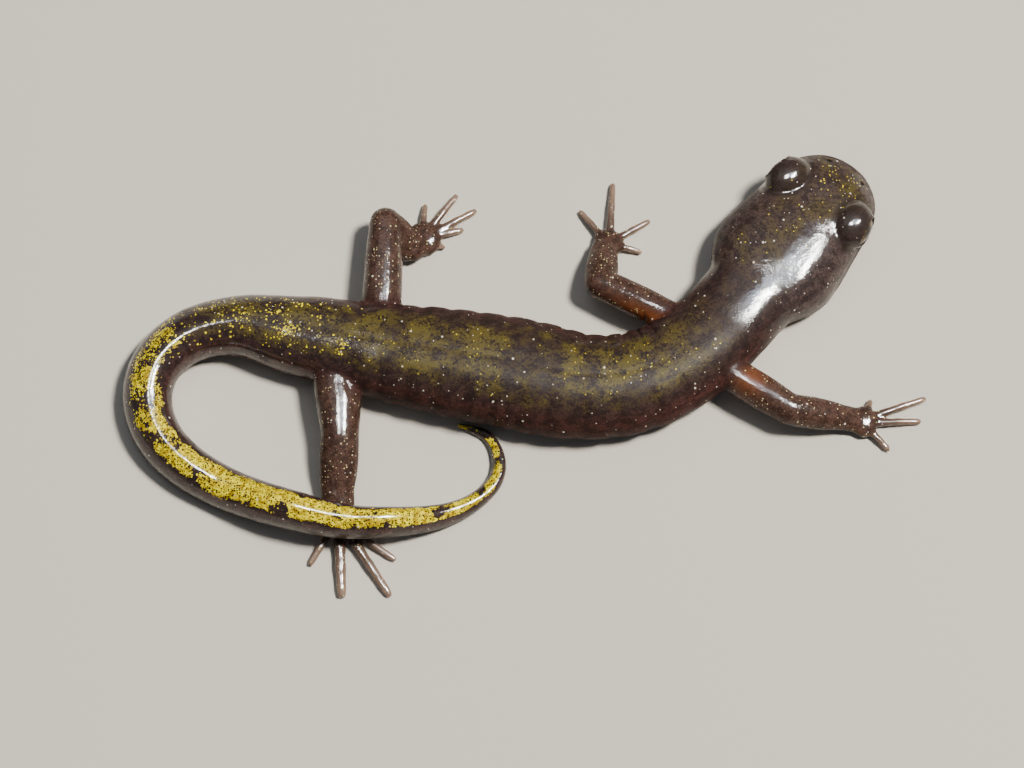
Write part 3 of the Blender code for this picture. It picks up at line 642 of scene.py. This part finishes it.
swelling = np.zeros(len(places))
flank = rising(crest, *GROOVE_TOP) * falling(crest, *GROOVE_FOOT)
for groove in GROOVES:
    slanted = distance - groove - GROOVE_SLANT * (crest - 0.8)
    swelling -= GROOVE_DEPTH * hump(slanted, GROOVE_WIDTH) * flank * on_body
inner = rising(-across / half_width, *INNER_SIDE)
for fold, depth in BEND_FOLDS:
    slanted = distance - fold - BEND_FOLD_SLANT * across
    above_foot = crest < BEND_FOLD_FOOT
    swelling -= depth * hump(slanted, BEND_FOLD_WIDTH) * inner * on_body * above_foot
long_fold = rising(distance, *LONG_FOLD_FROM) * falling(distance, *LONG_FOLD_UNTIL)
long_fold *= (crest < 1.0) * on_body
winding = LONG_FOLD_PLACE + LONG_FOLD_SWAY * np.sin(distance * LONG_FOLD_BENDS)
swelling -= LONG_FOLD_DEPTH * hump(across - winding, LONG_FOLD_WIDTH) * long_fold
below = rising(crest, 1.0, 0.4) * (1 - limb_share_of_skin)
slanted = distance - THROAT_FOLD - THROAT_SLANT * (2 - crest)
swelling -= THROAT_DEPTH * hump(slanted, THROAT_WIDTH) * below
furrow = rising(distance, *FURROW_FROM) * falling(distance, *FURROW_UNTIL) * on_body
swelling -= FURROW_DEPTH * hump(across, FURROW_WIDTH) * furrow

lip_line = rising(ahead - MOUTH_CORNER, -0.2, 0.7) * head_share
for above, width, amount in LIP_RIDGES:
    swelling += amount * hump(above_mouth - above, width) * lip_line
for centre, radius, amount in HEAD_BULGES:
    gap = np.sqrt(
        (ahead - centre[0]) ** 2 + (np.abs(aside) - centre[1]) ** 2 + (height - centre[2]) ** 2
    )
    swelling += amount * hump(gap, radius) * head_share
jaw_muscle = hump(np.abs(aside) - JAW_MUSCLE_PLACE, JAW_MUSCLE_WIDTH)
jaw_muscle *= rising(ahead, *JAW_MUSCLE_FROM) * falling(ahead, *JAW_MUSCLE_UNTIL)
swelling += JAW_MUSCLE_RISE * jaw_muscle * head_share * (height > mouth + JAW_MUSCLE_FOOT)
calm = 1 - TAUT_TAIL_SHARE * rising(distance, *TAUT_TAIL_FROM)
for size, amount in ((RIPPLE_SIZE, RIPPLE_HEIGHT), (FINE_RIPPLE_SIZE, FINE_RIPPLE_HEIGHT)):
    swelling += amount * calm * np.array([noise.noise(p) for p in (places / size).tolist()])
places = places + normals * swelling[:, None]
low, high = (np.array(corner) * 1000.0 for corner in packed_box)
places = np.clip(places, low, high)

# Markings of the skin
# Long-toed salamanders are near black with a golden stripe down the back. In this young one the
# stripe is only olive mottling on the trunk, and turns to bright gold, broken by dark, on the tail.
TAIL_BREAKS = (
    (40.5, 1.2, 1.0), (43.2, 0.1, 0.45), (46.8, 0.0, 0.35), (49.5, -0.4, 0.55), (52.4, -1.1, 0.9),
    (56.0, -0.4, 0.5), (60.0, -0.8, 0.35), (62.3, -0.6, 0.5), (66.2, -0.2, 0.5), (69.5, -0.5, 0.4),
    (73.3, 0.1, 0.5), (76.5, 0.2, 0.45), (79.2, 0.0, 0.4), (81.8, 0.1, 0.6),
)
GOLD_PATCHES = (
    (31.2, 0.9, 0.7), (35.0, 0.9, 0.9), (36.0, -0.6, 0.9), (38.6, 0.5, 0.8), (40.2, -0.8, 1.1),
    (43.6, -0.6, 1.1), (44.4, 0.7, 0.7),
)
EDGE_WANDER, EDGE_WANDER_SIZE, CREST_WANDER = 0.55, 0.9, 0.12
EDGE_SEED = 1795748654
STRIPE_EDGE, STRIPE_START = (0.34, 0.2), 41.5
STRIPE_RISES = ((0.6, 0.0, 3.0), (0.4, 3.0, 4.0))
BREAK_SHARE, ROOT_GOLD_SHARE, FLAKE_SHARE = 0.95, 0.5, 0.55
THIN_STRIPE_PLACE, THIN_STRIPE_REACH, THIN_STRIPE_LOSS = 49.5, 5.5, 0.3
GOLD_PATCH_EDGE = (0.7, 0.25)
FLAKES_FROM, FLAKES_UNTIL, FLAKES_EDGE = (29.5, 7.0), (45.0, 4.0), (0.42, 0.2)
TAIL_SIDE_FROM, TAIL_SIDE_EDGE = (44.0, 8.0), (0.55, 0.25)
SNOUT_PLACE, SNOUT_REACH, CROWN_LEVEL = (10.3, -0.3), 1.9, 2.6
OLIVE_FROM, OLIVE_UNTIL, OLIVE_EDGE = (-2.0, 16.0), (38.0, 6.0), (0.3, 0.22)
HEAD_OLIVE_PLACE, HEAD_OLIVE_EDGE = 0.4, (1.6, 1.6)
HEAD_OLIVE_SHARE, SNOUT_OLIVE_SHARE = 0.34, 0.8
BELLY_EDGE, FLANK_EDGE, FLANK_FROM = (1.15, 0.35), (0.42, 0.3), (-0.6, 5.0)
TOES_FROM, TOE_PINK_SHARE = (3.0, 1.0), 0.85
ARM_BACK_PLACE, ARM_BACK_WIDTH, ARM_BACK_MIDDLE, ARM_BACK_REACH = (9.3, 5.0), 0.42, 9.4, 2.1
ARM_ROOT_PLACE, ARM_ROOT_REACH = (16.5, -0.7), 1.1
ARM_BACK_SHARE, ARM_ROOT_SHARE = 0.85, 0.6
LID_DOME_SHARE, LID_CREASE_SHADE_SHARE, LID_CREASE_SHADE_PLACE, LID_CREASE_SHADE_WIDTH = 0.45, 0.5, 0.12, 0.12
WET_TAIL_FROM, WET_NECK_UNTIL, DRY_FLANK_EDGE = (27.0, 10.0), (0.5, 3.0), (0.75, 0.4)
DULL_CROWN_EDGE, DULL_CROWN_SHARE = (0.5, 0.35), 0.75
DULL_ARM_UNTIL, DULL_LEG_FROM, DULL_LIMB_SHARE = (2.7, 0.5), (0.8, 0.5), 0.65
DRY_FLANK_SHARE, MOUTH_LINE_WIDTH, NOSTRIL_EDGE = 0.8, 0.07, (0.95, 0.3)

# Vector noise is seeded from the clock unless it is given a seed, and the edges would change.
noise.seed_set(EDGE_SEED)
wander = EDGE_WANDER * np.array([
    noise.noise_vector(p) for p in (places / EDGE_WANDER_SIZE).tolist()
])
ragged_crest = crest + CREST_WANDER * wander[:, 2] / EDGE_WANDER


def spots_of(spots):
    """Soft ragged spots on the body, each with a distance along, an offset and a radius."""
    total = np.zeros(len(places))
    for along, right, radius in spots:
        gap = np.hypot(distance + wander[:, 0] - along, across + wander[:, 1] - right)
        total = np.maximum(total, hump(gap, radius))
    return total


beyond = distance - STRIPE_START
stripe = sum(share * rising(beyond, start, width) for share, start, width in STRIPE_RISES)
stripe *= falling(ragged_crest, *STRIPE_EDGE)
stripe *= 1 - THIN_STRIPE_LOSS * hump(distance - THIN_STRIPE_PLACE, THIN_STRIPE_REACH)
root_gold = ROOT_GOLD_SHARE * spots_of(GOLD_PATCHES) * falling(ragged_crest, *GOLD_PATCH_EDGE)
gold = np.maximum(stripe * (1 - BREAK_SHARE * spots_of(TAIL_BREAKS)), root_gold) * on_body
flakes = rising(distance, *FLAKES_FROM) * falling(distance, *FLAKES_UNTIL)
flakes *= falling(ragged_crest, *FLAKES_EDGE) * on_body
flakes = np.maximum(FLAKE_SHARE * flakes, rising(gold, 0.0, 0.6))
tail_side = rising(distance, *TAIL_SIDE_FROM) * rising(ragged_crest, *TAIL_SIDE_EDGE) * on_body

crown = head_share * (height > CROWN_LEVEL)
snout = hump(np.hypot(ahead - SNOUT_PLACE[0], aside - SNOUT_PLACE[1]), SNOUT_REACH) * crown
head_middle = crown * falling(np.abs(aside - HEAD_OLIVE_PLACE + wander[:, 1]), *HEAD_OLIVE_EDGE)
olive = rising(distance, *OLIVE_FROM) * falling(distance, *OLIVE_UNTIL)
olive *= falling(ragged_crest, *OLIVE_EDGE) * on_body
for share in (HEAD_OLIVE_SHARE * head_middle, SNOUT_OLIVE_SHARE * snout):
    olive = np.maximum(olive, share)
belly = rising(crest, *BELLY_EDGE) * (1 - limb_share_of_skin)
flank_red = rising(crest, *FLANK_EDGE) * rising(distance + 2 * wander[:, 0], *FLANK_FROM) * on_body

# The backs of the upper arms are thin skinned and blush orange, and the toes are pale pink.
along_limb = limb_rank + limb_share
toe = TOE_PINK_SHARE * rising(along_limb, *TOES_FROM) * limb_share_of_skin
x, y = places[:, 0], places[:, 1]
off_arm_back = (x - ARM_BACK_PLACE[0]) * 0.45 + (y - ARM_BACK_PLACE[1]) * 0.9 + 0.9
arm_back = ARM_BACK_SHARE * hump(off_arm_back, ARM_BACK_WIDTH)
arm_back *= hump(x - ARM_BACK_MIDDLE, ARM_BACK_REACH)
off_arm_root = np.hypot(x - ARM_ROOT_PLACE[0], y - ARM_ROOT_PLACE[1])
arm_root = ARM_ROOT_SHARE * hump(off_arm_root, ARM_ROOT_REACH) * limb_share_of_skin
blush = np.maximum(arm_back * (limb_out < 1.5), arm_root) * (1 - head_share)
flecks = 0.5 + 0.5 * flank_red + 0.3 * limb_share_of_skin + 0.5 * head_share - 0.8 * belly
flecks = np.clip(flecks, 0, 1)
# Each lid dome is tinted a little darker than the head, its own colour, and a ring just outside it
# is darkened as painted shade in the crease where the dome meets the head.
lid = np.zeros(len(places))
for side in (1, -1):
    gap = np.linalg.norm(moved(eye_matrix(side).inverted(), places) / DOME_SIZE, axis=1) - 1.0
    dome, rim = falling(gap, 0.0, 0.25), hump(gap - LID_CREASE_SHADE_PLACE, LID_CREASE_SHADE_WIDTH)
    lid = np.maximum(lid, LID_DOME_SHARE * dome + LID_CREASE_SHADE_SHARE * rim)

# The clear film of mucus is thick on the head and tail, and thinner or dried on the trunk, on the
# left of the crown and on the limbs.
wet = head_share + limb_share_of_skin
wet += rising(distance, *WET_TAIL_FROM) + falling(distance, *WET_NECK_UNTIL)
dry_flank = DRY_FLANK_SHARE * rising(crest, *DRY_FLANK_EDGE) * (1 - limb_share_of_skin)
wet = np.clip(wet, 0, 1) * (1 - dry_flank)
dull_crown = falling(wander[:, 2] - aside, *DULL_CROWN_EDGE) * falling(lid, 0.0, 0.2) * head_share
dull_limb = falling(along_limb, *DULL_ARM_UNTIL) * limb_share_of_skin
dull_limb *= np.where(x > 0, 1.0, rising(along_limb, *DULL_LEG_FROM))
film = wet * (1 - DULL_CROWN_SHARE * dull_crown) * (1 - DULL_LIMB_SHARE * dull_limb)
# Painted shade: the mouth line and the insides of the nostrils are darkened to near black, as if
# shade lay in the crease and in the holes.
pit = hump(above_mouth, MOUTH_LINE_WIDTH) * lip_line
for side in (1, -1):
    nostril = (NOSTRIL_PLACE.x, side * NOSTRIL_PLACE.y, NOSTRIL_PLACE.z)
    gap = np.linalg.norm(in_head - nostril, axis=1) / NOSTRIL_RADIUS
    pit = np.maximum(pit, falling(gap, *NOSTRIL_EDGE) * head_share)


def keep_numbers(mesh, name, numbers):
    """One number for each vertex, kept on the mesh for the material to read."""
    layer = mesh.attributes.new(name, "FLOAT", "POINT")
    layer.data.foreach_set("value", np.asarray(numbers, dtype=np.float32))


SKIN_MASKS = {
    "olive": olive, "gold": gold, "flank": flank_red, "belly": belly, "limb": limb_share_of_skin,
    "toe": toe, "blush": blush, "flecks": flecks, "snout": snout, "head": head_share,
    "tail_side": tail_side, "lid": lid, "pit": pit, "wet": wet, "film": film, "flakes": flakes,
}
mesh = skin.data
mesh.vertices.foreach_set("co", (places / 1000.0).ravel())
for name, numbers in SKIN_MASKS.items():
    keep_numbers(mesh, name, numbers)
skin_place = mesh.attributes.new("skin_place", "FLOAT_VECTOR", "POINT")
unrolled = np.stack([distance * 0.8, across, places[:, 2]], -1)
unrolled = unrolled * on_body[:, None] + places * (1 - on_body[:, None])
skin_place.data.foreach_set("vector", unrolled.astype(np.float32).ravel())
mesh.update()
mesh.shade_smooth()

# Colours of the skin
# Melanin lies under the whole skin, olive and gold cells lie in the stripe over it, and small white
# cells are strewn along the flanks. Clear mucus covers it all, wettest on the head and tail.
BACK_BROWN = "#3f2f2b"
BACK_BLACK_AND_SHADE = "#1e1616"
FLANK_BROWN = "#4e302a"
HEAD_BROWN = "#4f403c"
LID_BROWN_AND_CREASE_SHADE = "#2a201b"
BELLY_GREY = "#53453b"
LIMB_BROWN = "#573f34"
LIMB_DARK = "#402d25"
TAIL_GREY = "#4b3e36"
TOE_PINK = "#8a7261"
ARM_ORANGE = "#7c4523"
OLIVE = "#594e23"
DEEP_OLIVE = "#42381d"
FLECK_GOLD = "#f0dc20"
STRIPE_GOLD = "#ffec00"
STRIPE_AMBER = "#936e00"
PINHOLE_BROWN = "#2b1f08"
FLECK_CREAM = "#efe2a4"
FLECK_WHITE = "#f4ecd8"
DRY_ROUGHNESS, WET_ROUGHNESS = 0.32, 0.1
DRY_FILM, WET_FILM = 0.03, 1.0


def linear(code):
    """Linear RGBA from an sRGB hex colour."""
    parts = [int(code[i:i + 2], 16) / 255 for i in (1, 3, 5)]
    return (*(c / 12.92 if c <= 0.04045 else ((c + 0.055) / 1.055) ** 2.4 for c in parts), 1.0)


def node(tree, kind, settings, inputs, output=0):
    """Adds a node with its properties, its inputs set or linked, and gives one of its outputs."""
    made = tree.nodes.new("ShaderNode" + kind)
    for key, value in settings.items():
        setattr(made, key, value)
    for key, value in inputs.items():
        if isinstance(value, bpy.types.NodeSocket):
            tree.links.new(value, made.inputs[key])
        else:
            made.inputs[key].default_value = linear(value) if isinstance(value, str) else value
    return made.outputs[output]


# Inputs 1 to 4 of a MapRange node are the ends of the range it reads and of the one it gives.
TIMES, TIMES_PLUS = {"operation": "MULTIPLY"}, {"operation": "MULTIPLY_ADD"}
SOFT_STEP = {"interpolation_type": "SMOOTHSTEP"}


def specks(tree, vector, spacing, radius, share, where):
    """Round specks in a share of cells, with sizes in millimetres, where a mask allows them."""
    cells = {"Vector": vector, "Scale": 1 / spacing, "Randomness": 0.85}
    away = node(tree, "TexVoronoi", {}, cells, "Distance")
    chance = node(tree, "SeparateColor", {}, {0: node(tree, "TexVoronoi", {}, cells, "Color")})
    widest = radius / spacing
    size = node(tree, "MapRange", {}, {0: chance, 2: share, 3: widest, 4: 0.5 * widest})
    inside = node(tree, "Math", {"operation": "SUBTRACT"}, {0: size, 1: away})
    edge = node(tree, "Math", TIMES | {"use_clamp": True}, {0: inside, 1: 14.0})
    limit = node(tree, "Math", TIMES, {0: where, 1: share})
    chosen = node(tree, "Math", {"operation": "LESS_THAN"}, {0: chance, 1: limit})
    return node(tree, "Math", TIMES, {0: edge, 1: chosen})


# Wet amphibian skin: pigment under clear mucus, so it is dark in shade and throws hard white
# highlights. The numbers 1.38 and 1.45 are the refraction of the skin and its watery film.
wet_skin = bpy.data.materials.new("wet_amphibian_skin")
wet_skin.use_nodes = True
tree = wet_skin.node_tree
shader = tree.nodes["Principled BSDF"]
mask = {name: node(tree, "Attribute", {"attribute_name": name}, {}, "Fac") for name in SKIN_MASKS}
unroll = node(tree, "Attribute", {"attribute_name": "skin_place"}, {}, "Vector")
metres = node(tree, "TexCoord", {}, {}, "Object")
mm = node(tree, "VectorMath", {"operation": "SCALE"}, {0: metres, "Scale": 1000.0})

# Dark pigment lies in blotches 1.5 mm wide, in patches of 0.55 mm inside them, and in single cells.
# The cells are under 0.1 mm across, and are drawn 0.17 mm apart, so that they show in the picture.
BLOTCH_SIZE, PATCH_SIZE, CELL_SIZE = 1.5, 0.55, 0.17
blotches = node(tree, "TexNoise", {}, {
    "Vector": unroll, "Scale": 1 / BLOTCH_SIZE, "Detail": 2.0, "Roughness": 0.5,
})
patches = node(tree, "TexNoise", {}, {
    "Vector": unroll, "Scale": 1 / PATCH_SIZE, "Detail": 4.0, "Roughness": 0.7,
})
grain = node(tree, "TexNoise", {}, {
    "Vector": mm, "Scale": 1 / CELL_SIZE, "Detail": 2.0, "Roughness": 0.6,
})
clusters = node(tree, "MapRange", SOFT_STEP, {0: blotches, 1: 0.42, 2: 0.6})
dark_blotches = node(tree, "MapRange", SOFT_STEP, {0: patches, 1: 0.56, 2: 0.42})
dark_grain = node(tree, "MapRange", {}, {0: grain, 1: 0.62, 2: 0.36, 4: 0.6})
dark_back = node(tree, "Math", TIMES, {0: dark_blotches, 1: 0.6})
dark_limb = node(tree, "Math", TIMES, {0: dark_blotches, 1: mask["limb"]})

coarse = node(tree, "Math", TIMES_PLUS, {0: blotches, 1: 0.5, 2: patches})
fine = node(tree, "Math", TIMES_PLUS, {0: grain, 1: 0.9, 2: coarse})
mottling = node(tree, "MapRange", SOFT_STEP, {0: fine, 1: 1.05, 2: 1.38})
mottling = node(tree, "Math", TIMES, {0: mottling, 1: mask["olive"]})
bright_mottling = node(tree, "Math", TIMES, {0: mottling, 1: clusters})

# Gold and cream cells lie in loose groups, 0.19 to 0.24 mm apart and 0.11 to 0.17 mm wide.
back_clusters = node(tree, "Math", TIMES, {0: clusters, 1: mask["olive"]})
limb_clusters = node(tree, "MapRange", {}, {0: clusters, 3: 0.2})
limb_clusters = node(tree, "Math", TIMES, {0: limb_clusters, 1: mask["limb"]})
snout_clusters = node(tree, "MapRange", {}, {0: mask["snout"], 1: 0.3, 2: 0.75})
flake_clusters = node(tree, "MapRange", SOFT_STEP, {0: patches, 1: 0.47, 2: 0.6})
flake_clusters = node(tree, "Math", TIMES, {0: flake_clusters, 1: mask["flakes"]})
back_specks = specks(tree, mm, 0.24, 0.055, 0.4, back_clusters)
limb_specks = specks(tree, mm, 0.19, 0.055, 0.5, limb_clusters)
snout_specks = specks(tree, mm, 0.22, 0.07, 0.5, snout_clusters)
tail_flakes = specks(tree, mm, 0.19, 0.085, 0.9, flake_clusters)

# On the tail the gold cells close up to a stripe with a ragged edge and amber parts, and the dark
# skin shows between them as a net of pinholes 0.16 mm apart.
RAGGED_SIZE, AMBER_SIZE, PINHOLE_SPACING, PINHOLE_RADIUS = 0.8, 0.32, 0.16, 0.085
net = node(tree, "TexNoise", {}, {"Vector": mm, "Scale": 1 / CELL_SIZE, "Detail": 1.0})
ragged = node(tree, "TexNoise", {}, {
    "Vector": unroll, "Scale": 1 / RAGGED_SIZE, "Roughness": 0.6,
})
ragged = node(tree, "Math", TIMES_PLUS, {0: ragged, 1: 1.1, 2: net})
amount = node(tree, "Math", TIMES_PLUS, {0: mask["gold"], 1: 0.65, 2: ragged})
golden = node(tree, "MapRange", SOFT_STEP, {0: amount, 1: 1.42, 2: 1.48})
within = node(tree, "MapRange", {}, {0: mask["gold"], 1: 0.05, 2: 0.2})
golden = node(tree, "Math", TIMES, {0: golden, 1: within})
pinholes = specks(tree, mm, PINHOLE_SPACING, PINHOLE_RADIUS, 1.0, golden)
amber = node(tree, "TexNoise", {}, {
    "Vector": mm, "Scale": 1 / AMBER_SIZE, "Detail": 3.0, "Roughness": 0.6,
})
amber = node(tree, "MapRange", {}, {0: amber, 1: 0.6, 2: 0.4, 4: 0.85})
amber = node(tree, "Math", TIMES, {0: golden, 1: amber})

# White cells are strewn singly over flanks, limbs and head, in two sizes.
big_white = specks(tree, mm, 0.7, 0.105, 0.55, mask["flecks"])
small_white = specks(tree, mm, 0.34, 0.058, 0.4, mask["flecks"])

# Two of these layers are painted shade: the lid layer darkens the crease round each eye dome, and
# the last layer darkens the mouth line and the nostrils.
colour = BACK_BROWN
for share, paint in (
    (mask["flank"], FLANK_BROWN), (mask["head"], HEAD_BROWN), (mask["tail_side"], TAIL_GREY),
    (mask["belly"], BELLY_GREY), (dark_back, BACK_BLACK_AND_SHADE), (mask["limb"], LIMB_BROWN),
    (dark_limb, LIMB_DARK), (dark_grain, BACK_BLACK_AND_SHADE), (mask["toe"], TOE_PINK),
    (mask["blush"], ARM_ORANGE), (mottling, DEEP_OLIVE), (bright_mottling, OLIVE),
    (mask["lid"], LID_BROWN_AND_CREASE_SHADE), (back_specks, FLECK_GOLD), (limb_specks, FLECK_CREAM),
    (snout_specks, FLECK_GOLD), (tail_flakes, STRIPE_GOLD), (golden, STRIPE_GOLD),
    (amber, STRIPE_AMBER), (pinholes, PINHOLE_BROWN), (small_white, FLECK_WHITE),
    (big_white, FLECK_WHITE), (mask["pit"], BACK_BLACK_AND_SHADE),
):
    colour = node(tree, "Mix", {"data_type": "RGBA"}, {0: share, 6: colour, 7: paint}, 2)

# Gland pores are about 0.05 mm wide on the animal and are drawn at 0.11 mm, so that they show, and
# the fine wrinkles between them at their own 0.35 mm. The film partly fills the pores where it is
# thick.
PORE_SIZE, PORE_DEPTH, WRINKLE_SIZE, WRINKLE_DEPTH = 0.11, 0.00002, 0.35, 0.00003
pores = node(tree, "TexNoise", {}, {"Vector": mm, "Scale": 1 / PORE_SIZE, "Roughness": 0.6})
wrinkles = node(tree, "TexNoise", {}, {
    "Vector": mm, "Scale": 1 / WRINKLE_SIZE, "Detail": 2.0, "Roughness": 0.5,
})
pore_share = node(tree, "MapRange", {}, {0: mask["wet"], 3: 0.9, 4: 0.4})
relief = node(tree, "Bump", {}, {
    "Strength": pore_share, "Distance": PORE_DEPTH, "Height": pores,
})
relief = node(tree, "Bump", {}, {
    "Strength": 0.35, "Distance": WRINKLE_DEPTH, "Height": wrinkles, "Normal": relief,
})
gloss = node(tree, "MapRange", {}, {
    0: mask["wet"], 2: 0.3, 3: DRY_ROUGHNESS, 4: WET_ROUGHNESS,
})
thickness = node(tree, "MapRange", {}, {0: mask["film"], 3: DRY_FILM, 4: WET_FILM})
pooled = node(tree, "MapRange", {}, {0: blotches, 1: 0.34, 2: 0.42, 3: 0.5, 4: 1.0})
thickness = node(tree, "Math", TIMES, {0: thickness, 1: pooled})
for name, source in {
    "Base Color": colour, "Normal": relief, "Coat Normal": relief, "Coat Roughness": gloss,
    "Coat Weight": thickness,
}.items():
    tree.links.new(source, shader.inputs[name])
for name, value in {
    "Roughness": 0.5, "Specular IOR Level": 0.04, "IOR": 1.38, "Coat IOR": 1.45,
    "Subsurface Weight": 0.12, "Subsurface Radius": (1.0, 0.55, 0.35), "Subsurface Scale": 0.0005,
}.items():
    shader.inputs[name].default_value = value
mesh.materials.clear()
mesh.materials.append(wet_skin)
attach(skin, "root")
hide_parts(*[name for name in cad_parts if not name.startswith("eye")])

# Eyes
# Each real eye is a ball filled with clear fluid behind a wet cornea. The iris is near black with
# fine brassy flecks, and the pupil is round and black.
IRIS_BROWN = "#120c08"
IRIS_BRASS = "#a37c22"
PUPIL_BLACK = "#020202"
PUPIL_ANGLE, PUPIL_SOFTNESS = 24.0, 2.0
BRASS_FLECK_SIZE = 0.13

# Wet cornea over a dark iris. The numbers 1.34 and 0.02 are a tear film's refraction and its near
# mirror polish.
wet_eye = bpy.data.materials.new("wet_cornea_over_iris")
wet_eye.use_nodes = True
tree = wet_eye.node_tree
shader = tree.nodes["Principled BSDF"]
metres = node(tree, "TexCoord", {}, {}, "Object")
mm = node(tree, "VectorMath", {"operation": "SCALE"}, {0: metres, "Scale": 1000.0})
angle = node(tree, "Attribute", {"attribute_name": "angle"}, {}, "Fac")
brass = node(tree, "TexNoise", {}, {
    "Vector": mm, "Scale": 1 / BRASS_FLECK_SIZE, "Detail": 3.0, "Roughness": 0.7,
})
brass = node(tree, "MapRange", {}, {0: brass, 1: 0.5, 2: 0.7})
pupil = node(tree, "MapRange", {}, {
    0: angle, 1: PUPIL_ANGLE + PUPIL_SOFTNESS, 2: PUPIL_ANGLE - PUPIL_SOFTNESS,
})
iris = node(tree, "Mix", {"data_type": "RGBA"}, {0: brass, 6: IRIS_BROWN, 7: IRIS_BRASS}, 2)
iris = node(tree, "Mix", {"data_type": "RGBA"}, {0: pupil, 6: iris, 7: PUPIL_BLACK}, 2)
tree.links.new(iris, shader.inputs["Base Color"])
for name, value in {
    "Roughness": 0.3, "Specular IOR Level": 0.1, "Coat Weight": 1.0, "Coat IOR": 1.34,
    "Coat Roughness": 0.02,
}.items():
    shader.inputs[name].default_value = value

for side, name in ((1, "eye_left"), (-1, "eye_right")):
    home = Matrix.Scale(0.001, 4) @ eye_matrix(side)
    eye = ball_piece(name + "_ball", home, EYE_SIZE, 64, 40)
    eye.data.shade_smooth()
    spots, _ = vertex_numbers(eye.data)
    local = moved(home.inverted(), spots)
    outward = np.arccos(local[:, 2] / np.linalg.norm(local, axis=1))
    keep_numbers(eye.data, "angle", np.degrees(outward))
    eye.data.materials.append(wet_eye)
    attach(eye, "root")
    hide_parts(name)

# Floor, light and camera
# A plain pale card under a bright lamp high on the right, with a wide soft panel overhead and four
# round cards of light that only the wet film mirrors. The camera looks down at 72 degrees.
FLOOR_CARD, FLOOR_SIZE = "#cfc8bc", 1.6
KEY_WAY = (0.42, 0.05, 0.90)

# Each lamp's direction, distance and width in metres, power in watts and colour.
LAMPS = {
    "key": (KEY_WAY, 0.7, 0.12, 8.5, (1.0, 0.96, 0.9)),
    "shine_card": (KEY_WAY, 0.69, 0.1, 10.0, (1.0, 0.98, 0.95)),
    "far_shine_card": ((0.51, 0.19, 0.84), 0.69, 0.12, 10.0, (1.0, 0.98, 0.95)),
    "upper_shine_card": ((-0.04, 0.06, 0.99), 0.69, 0.16, 11.0, (1.0, 1.0, 1.0)),
    "sky_card": ((0.3, 0.13, 0.95), 0.69, 0.27, 3.6, (0.78, 0.88, 1.0)),
    "soft_panel": ((-0.25, 0.35, 0.9), 0.8, 0.7, 0.7, (0.9, 0.95, 1.0)),
}
WORLD_COLOUR, WORLD_STRENGTH = (0.75, 0.85, 1.0, 1.0), 0.11
CAMERA_ELEVATION, CAMERA_AWAY = math.radians(72.0), 0.22
VIEW_WIDTH, SENSOR_WIDTH = 0.0721, 36.0

bpy.ops.mesh.primitive_plane_add(size=FLOOR_SIZE)
floor = bpy.context.object
floor.name = "floor_card"

# Uncoated card: matt, with almost no shine.
card = bpy.data.materials.new("matte_card")
card.use_nodes = True
for name, value in {
    "Base Color": linear(FLOOR_CARD), "Roughness": 0.9, "Specular IOR Level": 0.1,
}.items():
    card.node_tree.nodes["Principled BSDF"].inputs[name].default_value = value
floor.data.materials.append(card)

for name, (way, away, width, power, colour) in LAMPS.items():
    light = bpy.data.lights.new(name, "AREA")
    light.shape = "DISK"
    light.size, light.energy, light.color = width, power, colour
    lamp = bpy.data.objects.new(name, light)
    bpy.context.scene.collection.objects.link(lamp)
    way = Vector(way).normalized()
    lamp.location = way * away
    lamp.rotation_euler = way.to_track_quat("Z", "Y").to_euler()
    lamp.visible_diffuse = not name.endswith("_card")
world = bpy.data.worlds.new("even_grey")
world.use_nodes = True
world.node_tree.nodes["Background"].inputs["Color"].default_value = WORLD_COLOUR
world.node_tree.nodes["Background"].inputs["Strength"].default_value = WORLD_STRENGTH
bpy.context.scene.world = world

camera_data = bpy.data.cameras.new("camera")
camera_data.sensor_width = SENSOR_WIDTH
camera_data.lens = SENSOR_WIDTH * CAMERA_AWAY / VIEW_WIDTH
camera_data.clip_start = 0.005
camera = bpy.data.objects.new("camera", camera_data)
camera_back, camera_up = math.cos(CAMERA_ELEVATION), math.sin(CAMERA_ELEVATION)
camera.location = (0.0, -CAMERA_AWAY * camera_back, CAMERA_AWAY * camera_up)
camera.rotation_euler = (math.pi / 2 - CAMERA_ELEVATION, 0.0, 0.0)
bpy.context.scene.collection.objects.link(camera)
bpy.context.scene.camera = camera
